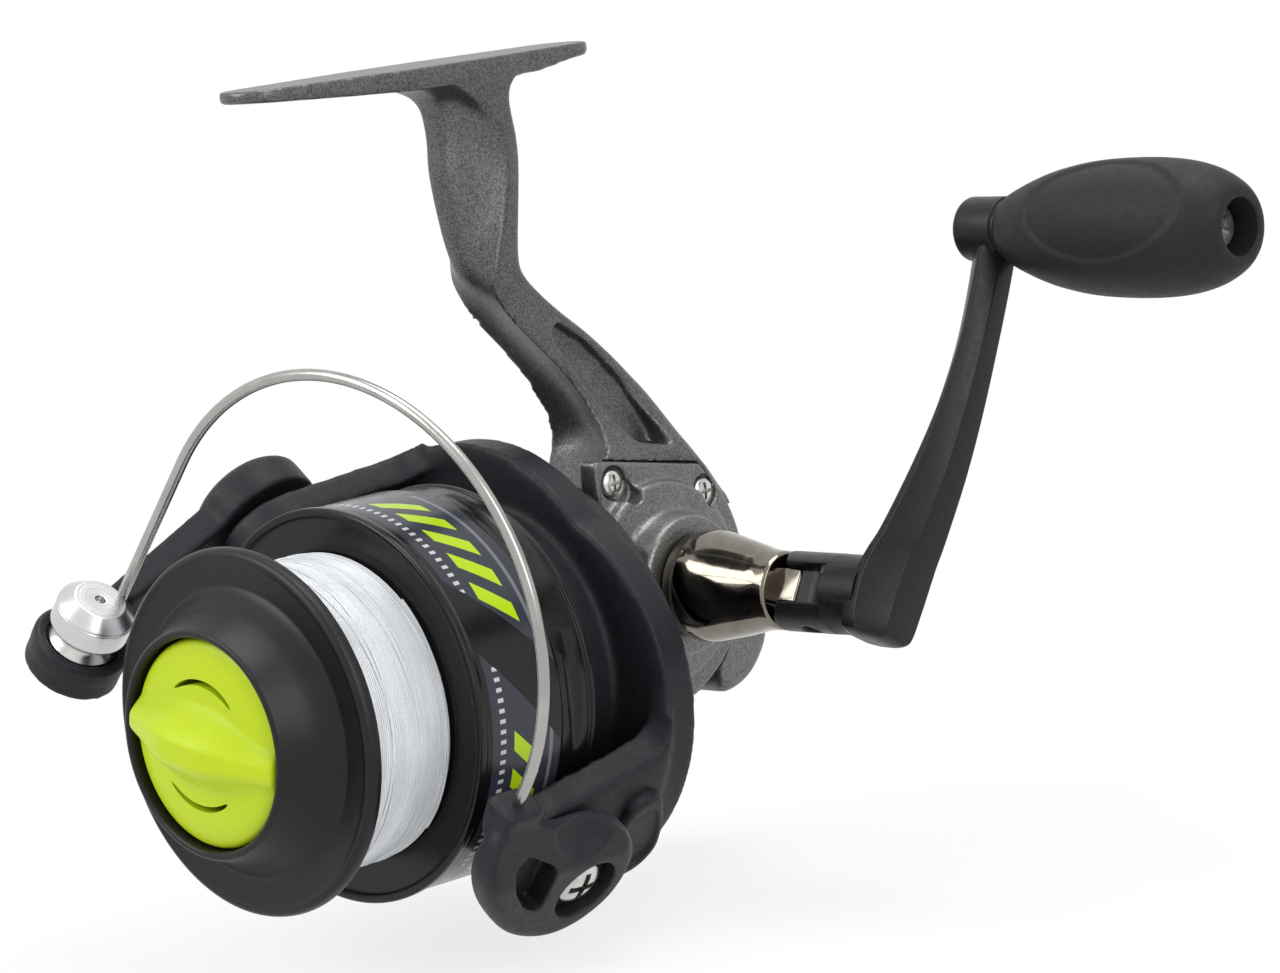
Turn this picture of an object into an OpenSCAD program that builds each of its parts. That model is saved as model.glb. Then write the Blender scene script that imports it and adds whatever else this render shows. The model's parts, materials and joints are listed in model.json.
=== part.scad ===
// Spinning reel with a front drag, a bail and a folding handle.
// Millimetres, +Z up. The origin is the middle of the foot's flat top, which the rod's seat holds.
// Inside reel() the spool turns about the Y axis, Y = 0 is the spool's front flange and the front faces -Y.

/* [Spool] */
// Radius of the spool's front flange
flange_r = 28; // [24:0.5:34]
// Thickness of the front flange at its lip
flange_thick = 2.5; // [2:0.1:3.5]
// Depth of the wound line below the flange's edge
line_depth = 3.8; // [2:0.1:6]
// Radius of the arbor under the line
arbor_r = 14; // [13.5:0.1:17]
// Width of the line bay between the two flanges
bay_width = 17.9; // [14:0.1:22]
// How far the skirt stands outside the front flange
skirt_step = 2.2; // [1.5:0.1:3]
// Length of the skirt behind the line bay
skirt_length = 24.3; // [20:0.1:26]
// Thickness of the skirt's wall
skirt_wall = 1.8; // [1.4:0.1:2.4]
// Diameter of the fishing line
line_d = 0.38; // [0.3:0.01:0.44]
// Free space between two loops of the outer layer
line_space = 0.48; // [0.45:0.01:0.8]

/* [Drag] */
// Radius of the drag knob
drag_knob_r = 15.2; // [13:0.1:16.5]
// Height of the drag knob from its back to its rim
drag_knob_height = 5.2; // [4:0.1:7]
// Height of the grip ridge above the knob's rim
ridge_height = 6.4; // [4:0.1:8]
// Radius of the drag washers
drag_washer_r = 11.3; // [8:0.1:11.8]
// Thickness of one drag washer
drag_washer_thick = 1.1; // [0.8:0.1:1.3]

/* [Shaft] */
// Radius of the main shaft
shaft_r = 2.2; // [1.8:0.1:2.4]
// Room behind the spool for its stroke
stroke_room = 7; // [5:0.5:8]

/* [Rotor] */
// Angle of the bail arm's side of the rotor below the handle side
arm_angle = -40; // [-60:1:-20]
// Gap between the skirt and the rotor's arms
arm_gap = 1.6; // [1.2:0.1:3]
// Thickness of a rotor arm
arm_thick = 5.3; // [4.6:0.1:6.5]
// Half width of a rotor arm at its foot
arm_base_half = 29; // [24:0.5:30]
// Radius of the round end of a rotor arm
arm_tip_r = 9.4; // [8.5:0.1:10]
// Distance of the bail's pivot behind the front flange
pivot_y = 34; // [32:0.1:36]
// Gap between the skirt's inside and the rotor's cup
cup_gap = 4.3; // [3.5:0.1:5]
// Thickness of the rotor's walls
cup_wall = 1.9; // [1.5:0.1:2.4]

/* [Bail] */
// Radius of the bail wire
wire_r = 0.9; // [0.7:0.05:1.2]
// Thickness of the bail arm and of the roller arm
lever_thick = 7; // [6:0.1:8]
// Radius of the levers round their pivots
lever_r = 10.6; // [9:0.1:11]
// Distance from the pivot forward to the plane of the wire
wire_forward = 24.1; // [22:0.1:26]
// Height of the wire's round above the pivot
wire_rise = 18.2; // [16:0.1:20]
// Tilt of the wire's plane
wire_tilt = 8.2; // [4:0.1:10]
// Radius of the line roller
roller_r = 5; // [4:0.1:5.6]
// Radius of the turned cap on the line roller
roller_cap_r = 6.2; // [5.5:0.1:7]

/* [Body] */
// Height of the foot's top above the spool's axis
foot_height = 94; // [86:0.5:114]
// Length of the foot
foot_length = 73; // [60:0.5:88]
// Width of the foot
foot_width = 15.6; // [13:0.1:19]
// Middle of the foot behind the front flange
foot_y = 47.7; // [44:0.1:52]
// Place of the handle's axis behind the front flange
axle_y = 78.5; // [78:0.1:82]
// Height of the handle's axis above the spool's axis
axle_z = 8.5; // [8:0.1:9]
// Radius of the gear case round the handle's axis
case_r = 22; // [21:0.1:25]
// Distance of the gear case's left face from the middle
case_left = 14; // [13.5:0.1:17]
// Thickness of the gear case's walls
case_wall = 3; // [2.4:0.1:3.4]
// Height of the side cover's boss from the cover's face
cover_boss = 7.9; // [6:0.1:10]

/* [Handle] */
// Distance from the handle's axis to the knob's axis
handle_length = 59.3; // [48:0.1:72]
// Lean of the handle towards the back at rest
handle_lean = 28.7; // [0:0.1:40]
// Length of the handle's cone
cone_length = 19.7; // [18:0.1:24]
// Radius of the cone's wide end
cone_base_r = 8.8; // [8:0.1:10]
// Radius of the cone's narrow end
cone_tip_r = 6; // [5.6:0.1:6.6]
// Length of the handle's knob
knob_length = 43; // [35:0.5:52]
// Largest radius of the handle's knob
knob_r = 10.3; // [8:0.1:12]
// Radius of the knob's steel post
post_r = 2.4; // [2:0.1:3]

/* [Fits] */
// Radial clearance of a running shaft
run_gap = 0.06; // [0.03:0.01:0.09]
// Radial clearance of an assembled piece that doesn't turn
seat_gap = 0.03; // [0.01:0.01:0.05]
// Gap between faces that pass each other
face_gap = 0.3; // [0.3:0.05:0.4]

/* [Hidden] */
$fn = 72;
far = 200;

// Spool, from the front to the back
skirt_r = flange_r + skirt_step;
line_r = flange_r - line_depth;
bay_front = flange_thick;
bay_back = bay_front + bay_width;
skirt_back = bay_back + skirt_length;
spool_wall = 3;
hub_back = bay_back + spool_wall + 1.2;
hub_r = 6;
recess_r = drag_knob_r + 0.8;
recess_floor = -1.5;
boss_front = -8;
boss_r = recess_r + 1.3;
cavity_r = drag_washer_r + face_gap;
washer_count = 5;
cavity_floor = recess_floor + 1.6 + washer_count * (drag_washer_thick + 0.1) + 2.4;

// Line
core_gap = 0.2;
wind_r = line_r - line_d / 2;
wind_rings = 24;
wind_sides = 6;
core_r = wind_r * cos(180 / wind_rings) - line_d / 2 - 0.03;
wind_margin = 1.2;
wind_span = bay_width - 2 * wind_margin;
line_loops = floor(wind_span / (line_d + line_space));
wind_pitch = wind_span / line_loops;

// Shaft and what sits on it
click_front = hub_back + face_gap;
click_thick = 1.2;
cross_pin_r = 0.8;
cross_pin_y = click_front + click_thick + cross_pin_r;
shaft_front = boss_front + 0.5;
shaft_flat = 0.5;

// Rotor
pinion_front = cross_pin_y + cross_pin_r + stroke_room + face_gap;
nut_height = 3.6;
rotor_front = pinion_front + face_gap + nut_height;
rotor_wall = 3;
cup_r = skirt_r - skirt_wall - cup_gap;
cup_in = cup_r - cup_wall;
rotor_back = axle_y - 12.5;
rim_r = cup_r + 4.7;
rim_y = rotor_back - 4.5;
arm_in = skirt_r + arm_gap;
arm_out = arm_in + arm_thick;
lever_in = arm_out + 2 * face_gap;
lever_out = lever_in + lever_thick;
pivot_screw_r = 2;
pivot_head_r = 4.1;
cover_thick = 1.2;

// Bail wire: half a circle whose ends stand in the two levers
wire_arc_r = lever_in + 0.9;
wire_end_x = wire_arc_r * sin(wire_tilt);
wire_end_w = wire_arc_r * cos(wire_tilt);
clevis = [-wire_forward + wire_end_x, wire_rise - 2];
roller_x = -wire_forward - wire_end_x;
roller_w = wire_end_w;
seat_r = 7.6;
seat_low = -23.4;
seat_high = -18.4;
roller_low = seat_high + face_gap;
roller_high = roller_low + 5;
cap_low = roller_high + face_gap;
cap_high = cap_low + 4.4;
roller_bore_r = 1.8;

// Pinion, clutch and bearing
pinion_teeth = 8;
gear_ratio = 5;
pinion_r = 4;
mesh_forward = 9.5;
osc_module = 0.7;
pinion_bore = shaft_r + run_gap;
pinion_stem_r = 3.9;
pinion_back = axle_y - 6.4;
tooth_front = pinion_back - 9.6;
pinion_root_r = pinion_r - 0.85;
pinion_tip_r = pinion_r + 0.65;
clutch_front = rotor_front + rotor_wall + 2 * face_gap;
neck_front = clutch_front + 7;
clutch_out_r = 12.5;
sleeve_r = 6.3;
clutch_roller_r = 1;
bearing_width = 4;
bearing_out_r = 9;
neck_r = 19.4;
neck_step = 8.5;
back_plate = 1.4;
neck_bore_r = pinion_tip_r + 0.45;

// Gears: the tooth line crosses the pinion at the spiral angle
gear_teeth = pinion_teeth * gear_ratio;
spiral = atan((gear_ratio * pinion_r - mesh_forward) / axle_z);
twist_per_mm = tan(spiral) / pinion_r * 180 / PI;
radial_angle = atan(axle_z / mesh_forward);
mesh_r = sqrt(mesh_forward * mesh_forward + axle_z * axle_z);
gear_tooth_turn = spiral - radial_angle;
gear_r = mesh_r + 2.2;
gear_tooth_tip = pinion_root_r + 0.3;
gear_face = pinion_tip_r + 0.25;
gear_thick = 2.5;
tooth_width = 0.46;
axle_r = 4;
hex_r = 2.9;
osc_drive_teeth = 14;
osc_teeth = 18;
osc_left = -case_left + case_wall + 0.4;
osc_width = 2.4;
osc_distance = osc_module * (osc_drive_teeth + osc_teeth) / 2;
osc_drop = 57.6;
osc_y = axle_y + osc_distance * cos(osc_drop);
osc_z = axle_z - osc_distance * sin(osc_drop);
osc_throw = 4.2;
osc_pin_r = 1.2;
osc_post_r = 2;

// Gear case
web_thick = 6.4;
skirt_in = skirt_r - skirt_wall;
flange_round = 30;
cover_seat = 8;
cover_face = 12;
cover_r = case_r - 1.6;
cavity_case_r = gear_r + 1.2;
case_front = rotor_back + 2 * face_gap;
sump_y = axle_y + 7.5;
sump_r = 12.4;
sump_wall = 2;
cap_y = axle_y + 14.6;
cap_top = axle_z + 9;
drive_bearing_r = 6.6;
cover_bearing_x = cover_face + cover_boss - 6;
boss_face = cover_face + cover_boss;
cover_screws = [[axle_y - 7.6, axle_z + 17.2], [axle_y + 12.6, axle_z + 12.4], [axle_y - 5, axle_z - 17.2]];
cover_screw_r = 1.4;
cover_head_r = 2;
guide_x = -3.6;
guide_z = -5.2;
guide_r = 0.9;
guide_front = case_front - 0.4;
guide_back = sump_y + sqrt(pow(sump_r - sump_wall, 2) - guide_z * guide_z) + 1.2;
switch_x = -7.6;
switch_y = axle_y - 6.5;
switch_r = 1.9;
switch_flange_r = switch_r + 0.7;
switch_top = axle_z - sqrt(pow(cavity_case_r, 2) - pow(axle_y - switch_y + switch_flange_r, 2)) + 0.25;

// Slider
slider_length = 3.6;
slider_y = osc_y - slider_length / 2;
slider_top = axle_z - axle_r - 2 * face_gap;
slider_low = guide_z - guide_r - 0.5;
slider_screw_r = 0.9;
slider_screw_end = 1;
slider_right = gear_tooth_tip - 2 * face_gap;
slider_left = osc_left + osc_width + 2.1 + face_gap;

// Handle
cone_start = boss_face + face_gap;
cone_end = cone_start + cone_length;
fold_x = cone_end + 6.8;
tongue_half = 2.8;
fork_r = cone_tip_r + 0.2;
elbow_x = fold_x + 6.3;
arm_x = elbow_x + 8.6;
fold_pin_r = 1.5;
hub_x = elbow_x + 5.6;
hub_end = hub_x + 8;
handle_hub_r = 5;
knob_start = hub_end + face_gap;
knob_end = knob_start + knob_length;
knob_hole_r = 3.4;
knob_hole_depth = 5;

// Frames: reel() holds everything, the others lay a drawing on an axis of the reel
module reel() {
    translate([0, -foot_y, -foot_height]) children();
}
// Local Z runs back along the main shaft
module on_shaft() {
    rotate([-90, 0, 0]) children();
}
// Local Z runs right along the handle's axle
module on_axle() {
    translate([0, axle_y, axle_z]) rotate([0, 90, 0]) children();
}
// Local X runs back from the bail's pivot, Y up the bail's side and Z outwards along the pivot
module on_pivot(side = 0) {
    translate([0, pivot_y, 0]) rotate([0, -arm_angle - side, 0]) rotate([90, 0, 90]) children();
}
// Local X runs along the handle's arm and Z right along the axle
module on_handle() {
    translate([0, axle_y, axle_z]) rotate([-handle_lean, 0, 0]) rotate([90, 0, 90]) rotate([0, 0, 90])
        children();
}
// A side drawing in (y, z) given a width from x0 to x1
module side_plate(x0, x1) {
    translate([x0, 0, 0]) rotate([90, 0, 90]) linear_extrude(x1 - x0) children();
}
// A front drawing in (x, z) given a depth along the whole reel
module front_plate() {
    translate([0, far, 0]) rotate([90, 0, 0]) linear_extrude(2 * far) children();
}

function bezier(a, b, c, d, n) = [for (i = [0 : n]) let (t = i / n, u = 1 - t)
    u * u * u * a + 3 * u * u * t * b + 3 * u * t * t * c + t * t * t * d];

// A tube swept along points, with each ring square to the path
function unit(v) = v / norm(v);
function tube_ring(p, t, side, r, n) = let (a = unit(side - (side * t) * t), b = cross(t, a))
    [for (k = [0 : n - 1]) p + r * (cos(360 * k / n) * a + sin(360 * k / n) * b)];
module tube(path, sides, r, n) {
    last = len(path) - 1;
    tangents = [for (i = [0 : last]) unit(path[min(i + 1, last)] - path[max(i - 1, 0)])];
    points = [for (i = [0 : last]) each tube_ring(path[i], tangents[i], sides[i], r, n)];
    walls = [for (i = [0 : last - 1]) for (k = [0 : n - 1]) let (m = (k + 1) % n)
        each [[i * n + k, (i + 1) * n + k, i * n + m], [i * n + m, (i + 1) * n + k, (i + 1) * n + m]]];
    ends = [for (k = [1 : n - 2]) each [[0, k, k + 1], [last * n, last * n + k + 1, last * n + k]]];
    polyhedron(points, concat(walls, ends));
}

// A washer or sleeve about local Z
module ring(r_out, r_in, z0, z1) {
    translate([0, 0, z0]) difference() {
        cylinder(r = r_out, h = z1 - z0);
        translate([0, 0, -1]) cylinder(r = r_in, h = z1 - z0 + 2);
    }
}
// A pan-head screw along local Z, with its head's top at z = 0
module screw(head_r, head_h, shank_r, length) {
    slot = head_r * 0.3;
    difference() {
        union() {
            translate([0, 0, -head_h]) cylinder(r = head_r, h = head_h);
            translate([0, 0, -length]) cylinder(r = shank_r, h = length - head_h);
        }
        for (a = [0, 90]) rotate([0, 0, a]) translate([-head_r * 0.65, -slot / 2, -head_h * 0.5])
            cube([head_r * 1.3, slot, head_h]);
    }
}

// Body housing
// Stem at its stations: share of the height above the axle, then the nose, ridge and back as shares of the way
// from the foot's middle to the axle, the half width, and the nose's half width
stem_stations = [
    [1, -0.02, 0.2, 0.62, 7.2, 4],
    [0.962, 0, 0.23, 0.59, 7, 4],
    [0.945, 0.05, 0.25, 0.545, 6.7, 3],
    [0.925, 0.075, 0.285, 0.52, 6.4, 2.4],
    [0.845, 0.08, 0.4, 0.51, 6, 2.2],
    [0.79, 0.076, 0.43, 0.51, 5.8, 2.2],
    [0.72, 0.098, 0.375, 0.478, 5.6, 2.2],
    [0.64, 0.16, 0.3, 0.465, 5.4, 2.2],
    [0.59, 0.19, 0.285, 0.51, 5.4, 2.4],
    [0.515, 0.345, 0.39, 0.766, 5.6, 2.6],
    [0.43, 0.58, 0.62, 1.022, 6.4, 3],
    [0.355, 0.737, 0.775, 1.224, 7.6, 4],
    [0.275, 0.8, 0.835, 1.4, 9.2, 5.4],
    [0.2, 0.79, 0.83, 1.536, 10.8, 7],
    [0.065, 0.72, 0.8, 1.7, 11.6, 9]];
function stem_y(share) = foot_y + share * (axle_y - foot_y);
function stem_ring(s) = let (z = axle_z + s[0] * (foot_height - axle_z), h = s[4], n = s[5]) [
    [-n, stem_y(s[1]), z], [n, stem_y(s[1]), z], [h, stem_y(s[2]), z],
    [h - 0.8, stem_y(s[3]), z], [0.8 - h, stem_y(s[3]), z], [-h, stem_y(s[2]), z]];
module stem() {
    sides = 6;
    last = len(stem_stations) - 1;
    polyhedron(points = [for (s = stem_stations) each stem_ring(s)], faces = concat(
        [[for (j = [sides - 1 : -1 : 0]) j], [for (j = [0 : sides - 1]) last * sides + j]],
        [for (i = [0 : last - 1], j = [0 : sides - 1]) let (a = i * sides, k = (j + 1) % sides)
            each [[a + j, a + k, a + sides + k], [a + j, a + sides + k, a + sides + j]]]));
}
module foot() {
    half = foot_length / 2;
    end_thick = 1.8;
    mid_thick = 3.4;
    end_r = foot_width * 0.36;
    intersection() {
        side_plate(-foot_width, foot_width) polygon(concat(
            [[foot_y - half, foot_height], [foot_y - half, foot_height - end_thick]],
            [[foot_y - half * 0.5, foot_height - end_thick - 1]],
            [[foot_y - half * 0.15, foot_height - mid_thick],
                [foot_y + half * 0.6, foot_height - mid_thick]],
            [[foot_y + half * 0.8, foot_height - end_thick - 0.6]],
            [[foot_y + half, foot_height - end_thick], [foot_y + half, foot_height]]));
        translate([0, foot_y, foot_height - mid_thick]) linear_extrude(mid_thick) union() {
            polygon([[-end_r, -half + end_r], [end_r, -half + end_r], [foot_width / 2, -half * 0.2],
                [foot_width / 2, half * 0.2], [end_r, half - end_r], [-end_r, half - end_r],
                [-foot_width / 2, half * 0.2], [-foot_width / 2, -half * 0.2]]);
            for (s = [-1, 1]) translate([0, s * (half - end_r)]) circle(r = end_r);
        }
    }
}
// Outline of the gear case in (y, z), behind the rotor
module case_outline() {
    intersection() {
        union() {
            translate([axle_y, axle_z]) circle(r = case_r);
            translate([sump_y, 0]) circle(r = sump_r);
        }
        translate([case_front, -far / 2]) square([far, far]);
    }
}
module case_inside() {
    on_axle() translate([0, 0, -case_left + case_wall])
        cylinder(r = cavity_case_r, h = case_left + cover_seat);
    side_plate(-case_left + case_wall, cover_seat + 1) translate([sump_y, 0])
        circle(r = sump_r - sump_wall);
}
module cap_region() {
    translate([-far / 2, cap_y, -far]) cube([far, far, far + cap_top]);
}
// Neck into the rotor, and the plate that closes the rotor's back
module neck() {
    plate_r = cup_in + 0.9;
    tube_r = clutch_out_r + 1;
    on_shaft() rotate_extrude() polygon([[0, neck_front], [tube_r, neck_front],
        [tube_r, neck_front + neck_step],
        [neck_r, neck_front + neck_step + 2], [neck_r, rim_y + 1], [plate_r, case_front],
        [plate_r, case_front + back_plate], [0, case_front + back_plate + 2]]);
}
module body_housing() {
    color("dimgray") reel() difference() {
        union() {
            side_plate(-case_left + 3, cover_seat) case_outline();
            intersection() {
                on_axle() rotate_extrude() polygon([[0, -case_left], [case_r - 6, -case_left],
                    [case_r, 3 - case_left], [case_r, 0], [0, 0]]);
                side_plate(-far / 4, far / 4) case_outline();
            }
            stem();
            foot();
            neck();
        }
        case_inside();
        side_plate(cover_seat, far / 4) cover_outline();
        cap_region();
        on_shaft() translate([0, 0, neck_front - 1]) cylinder(r = neck_bore_r, h = far / 4);
        on_shaft() translate([0, 0, neck_front - 1])
            cylinder(r = bearing_out_r + seat_gap, h = bearing_width + 1);
        for (a = [90, 210, 330]) on_shaft() rotate([0, 0, a])
            translate([bearing_out_r + 2.2, 0, neck_front - 1])
            cylinder(r = 1 + seat_gap, h = 6);
        on_axle() translate([0, 0, -case_left - 1])
            cylinder(r = drive_bearing_r + seat_gap, h = case_wall + 2);
        for (p = cover_screws) translate([0, p[0], p[1]]) rotate([0, 90, 0])
            cylinder(r = cover_screw_r + seat_gap, h = far / 4);
        translate([guide_x, guide_front - 0.1, guide_z]) on_shaft()
            cylinder(r = guide_r + seat_gap, h = far / 8);
        translate([switch_x, switch_y, -far / 4]) cylinder(r = switch_r + run_gap, h = far / 4);
        translate([-case_left + 1.2, osc_y, osc_z]) rotate([0, 90, 0])
            cylinder(r = osc_post_r + seat_gap, h = 4);
    }
}

// Side cover on the handle's side, with the stepped boss that carries the axle
module cover_outline() {
    intersection() {
        union() {
            translate([axle_y, axle_z]) circle(r = cover_r);
            polygon([[axle_y - 13, axle_z + 21.6], [axle_y + 12.4, axle_z + 17],
                [axle_y + 17.6, axle_z + 9],
                [axle_y, axle_z], [axle_y - 13, axle_z]]);
        }
        polygon([[case_front + 0.4, axle_z + 21.8], [axle_y - 13, axle_z + 21.6],
            [axle_y + 12.4, axle_z + 17], [axle_y + far, axle_z + 17], [axle_y + far, -far],
                [case_front + 0.4, -far]]);
    }
}
module side_cover() {
    color("slategray") reel() difference() {
        union() {
            side_plate(cover_seat, cover_face) cover_outline();
            intersection() {
                on_axle() rotate_extrude() polygon([[0, cover_face - 1], [16.6, cover_face - 1],
                    [16, cover_face + 2.4],
                    [11.6, cover_face + 3.4], [10.8, boss_face], [0, boss_face]]);
                translate([0, case_front + 0.4, -far / 2]) cube([far, far, far]);
            }
        }
        on_axle() translate([0, 0, cover_seat - 1]) cylinder(r = axle_r + 1, h = far / 4);
        on_axle() translate([0, 0, cover_bearing_x]) cylinder(r = drive_bearing_r + seat_gap, h = far / 4);
        for (p = cover_screws) translate([0, p[0], p[1]]) rotate([0, 90, 0]) {
            cylinder(r = cover_screw_r + seat_gap, h = far / 4);
            translate([0, 0, cover_face - 2]) cylinder(r = cover_head_r + face_gap, h = far / 4);
        }
    }
}
module side_cover_screws() {
    color("silver") reel() for (p = cover_screws) translate([cover_face - 0.4, p[0], p[1]])
        rotate([0, 90, 0])
        screw(cover_head_r, 1.6, cover_screw_r, 9);
}
module rear_cap() {
    color("gray") reel() difference() {
        intersection() {
            union() {
                side_plate(-case_left + 3, cover_seat) case_outline();
                intersection() {
                    on_axle() rotate_extrude() polygon([[0, -case_left], [case_r - 6, -case_left],
                        [case_r, 3 - case_left], [case_r, 0], [0, 0]]);
                    side_plate(-far / 4, far / 4) case_outline();
                }
            }
            cap_region();
        }
        case_inside();
        translate([guide_x, cap_y - 1, guide_z]) on_shaft()
            cylinder(r = guide_r + seat_gap, h = guide_back + 0.1 - cap_y + 1);
    }
}

// Bearings, clutch and the rods in the case
module drive_bearing(x0) {
    reel() on_axle() ring(drive_bearing_r, axle_r + run_gap, x0, x0 + case_wall);
}
module left_drive_bearing() {
    color("goldenrod") drive_bearing(-case_left);
}
module right_drive_bearing() {
    color("goldenrod") drive_bearing(cover_bearing_x);
}
module pinion_bearing() {
    color("silver") reel() on_shaft() difference() {
        ring(bearing_out_r, pinion_stem_r + run_gap, neck_front, neck_front + bearing_width);
        for (z = [neck_front - 0.4, neck_front + bearing_width - 0.4]) ring(7.6, 5.4, z, z + 0.8);
    }
}
module one_way_clutch() {
    color("darkgray") reel() on_shaft() difference() {
        ring(clutch_out_r, sleeve_r + 2 * clutch_roller_r + run_gap, clutch_front, neck_front);
        for (a = [90, 210, 330]) rotate([0, 0, a]) translate([bearing_out_r + 2.2, 0, 0])
            cylinder(r = 1 + seat_gap, h = far);
    }
}
module clutch_rollers() {
    color("silver") reel() on_shaft() for (a = [0 : 60 : 300]) rotate([0, 0, a])
        translate([sleeve_r + clutch_roller_r + run_gap / 2, 0, clutch_front + 1])
            cylinder(r = clutch_roller_r, h = 5);
}
module clutch_screws() {
    color("silver") reel() on_shaft() for (a = [90, 210, 330]) rotate([0, 0, a])
        translate([bearing_out_r + 2.2, 0, clutch_front])
            cylinder(r = 1, h = neck_front - clutch_front + 4.5);
}
module slider_guide_rod() {
    color("silver") reel() translate([guide_x, guide_front, guide_z]) on_shaft()
        cylinder(r = guide_r, h = guide_back - guide_front);
}
module oscillation_post() {
    color("silver") reel() translate([-case_left + 1.4, osc_y, osc_z]) rotate([0, 90, 0])
        cylinder(r = osc_post_r, h = osc_left + osc_width + case_left - 1.4);
}
module anti_reverse_lever() {
    paddle = 15;
    low = -case_r + axle_z - 1.2;
    color("black") reel() translate([switch_x, switch_y, 0]) {
        translate([0, 0, low]) cylinder(r = switch_r, h = switch_top - low);
        translate([0, 0, switch_top]) cylinder(r = switch_flange_r, h = 0.8);
        translate([0, 0, low - 2.4]) linear_extrude(2.4) union() {
            circle(r = switch_r + 1);
            polygon([[-2.4, 0], [2.4, 0], [2, paddle], [-2, paddle]]);
            translate([0, paddle]) circle(r = 2);
        }
    }
}

// Handle drive
module spur(teeth, mod, width) {
    r = teeth * mod / 2;
    inside = r - 2 * mod;
    root = r - 1.1 * mod;
    tip = r + 0.6 * mod;
    root_half = 0.54 * mod;
    tip_half = 0.18 * mod;
    cylinder(r = r - 1.2 * mod, h = width);
    for (i = [0 : teeth - 1]) rotate([0, 0, 360 * i / teeth]) linear_extrude(width)
        polygon([[inside, -root_half], [root, -root_half], [tip, -tip_half], [tip, tip_half],
            [root, root_half],
            [inside, root_half]]);
}
module hexagon(r, z0, z1) {
    translate([0, 0, z0]) cylinder(r = r, h = z1 - z0, $fn = 6);
}
module drive_gear() {
    tooth_length = 4;
    color("lightgray") reel() on_axle() difference() {
        union() {
            translate([0, 0, -case_left - 0.2]) cylinder(r = axle_r, h = cone_start + case_left + 0.2);
            translate([0, 0, gear_face]) cylinder(r = gear_r, h = gear_thick);
            translate([0, 0, osc_left]) spur(osc_drive_teeth, osc_module, osc_width);
            for (i = [0 : gear_teeth - 1]) rotate([0, 0, mesh_turn() + 360 * i / gear_teeth])
                translate([mesh_r, 0, gear_tooth_tip]) rotate([0, 0, gear_tooth_turn])
                    translate([-tooth_length / 2, -tooth_width / 2, 0])
                        cube([tooth_length, tooth_width, gear_face - gear_tooth_tip + 0.2]);
        }
        rotate([0, 0, 180 - handle_lean]) hexagon(hex_r + seat_gap, -case_left - 1, cone_start + 1);
    }
}
// Angle on the gear of the mesh point, in the axle's frame, where local X is down and local Y is back
function mesh_turn() = atan2(-mesh_forward, axle_z);
module handle_cone() {
    color("gray") reel() on_handle() difference() {
        union() {
            rotate_extrude() polygon(concat([[0, cone_start]],
                bezier([cone_base_r, cone_start], [cone_base_r, cone_start + cone_length * 0.3],
                    [cone_tip_r, cone_end - cone_length * 0.45], [cone_tip_r, cone_end], 12),
                [[0, cone_end]]));
            hexagon(hex_r, 2 - case_left, cone_start + 1);
            intersection() {
                union() {
                    translate([0, 0, fold_x]) rotate([0, 90, 0])
                        cylinder(r = cone_tip_r - 0.6, h = 4 * tongue_half, center = true);
                    translate([-far / 2, 0.6 - cone_tip_r, cone_end - 1])
                        cube([far, 2 * cone_tip_r - 1.2, fold_x - cone_end + 1]);
                }
                translate([-tongue_half, -far / 2, cone_end - 1]) cube([2 * tongue_half, far, far / 2]);
            }
        }
        translate([0, 0, -case_left]) cylinder(r = 1.6 + seat_gap, h = case_left);
        translate([0, 0, fold_x]) rotate([0, 90, 0])
            cylinder(r = fold_pin_r + seat_gap, h = far, center = true);
    }
}
module fold_pin() {
    color("silver") reel() on_handle() translate([0, 0, fold_x]) rotate([0, 90, 0])
        cylinder(r = fold_pin_r, h = 2 * (fork_r - 0.7), center = true);
}
module handle_lock_cap() {
    color("black") reel() on_handle() difference() {
        union() {
            translate([0, 0, -case_left - 6]) cylinder(r1 = 6.2, r2 = 7.4, h = 5.4);
            translate([0, 0, -case_left - 1]) cylinder(r = 1.6, h = case_left - 2);
        }
        for (i = [0 : 11]) rotate([0, 0, 30 * i]) translate([8, 0, -case_left - 7])
            cylinder(r = 1.1, h = 8);
    }
}

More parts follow.
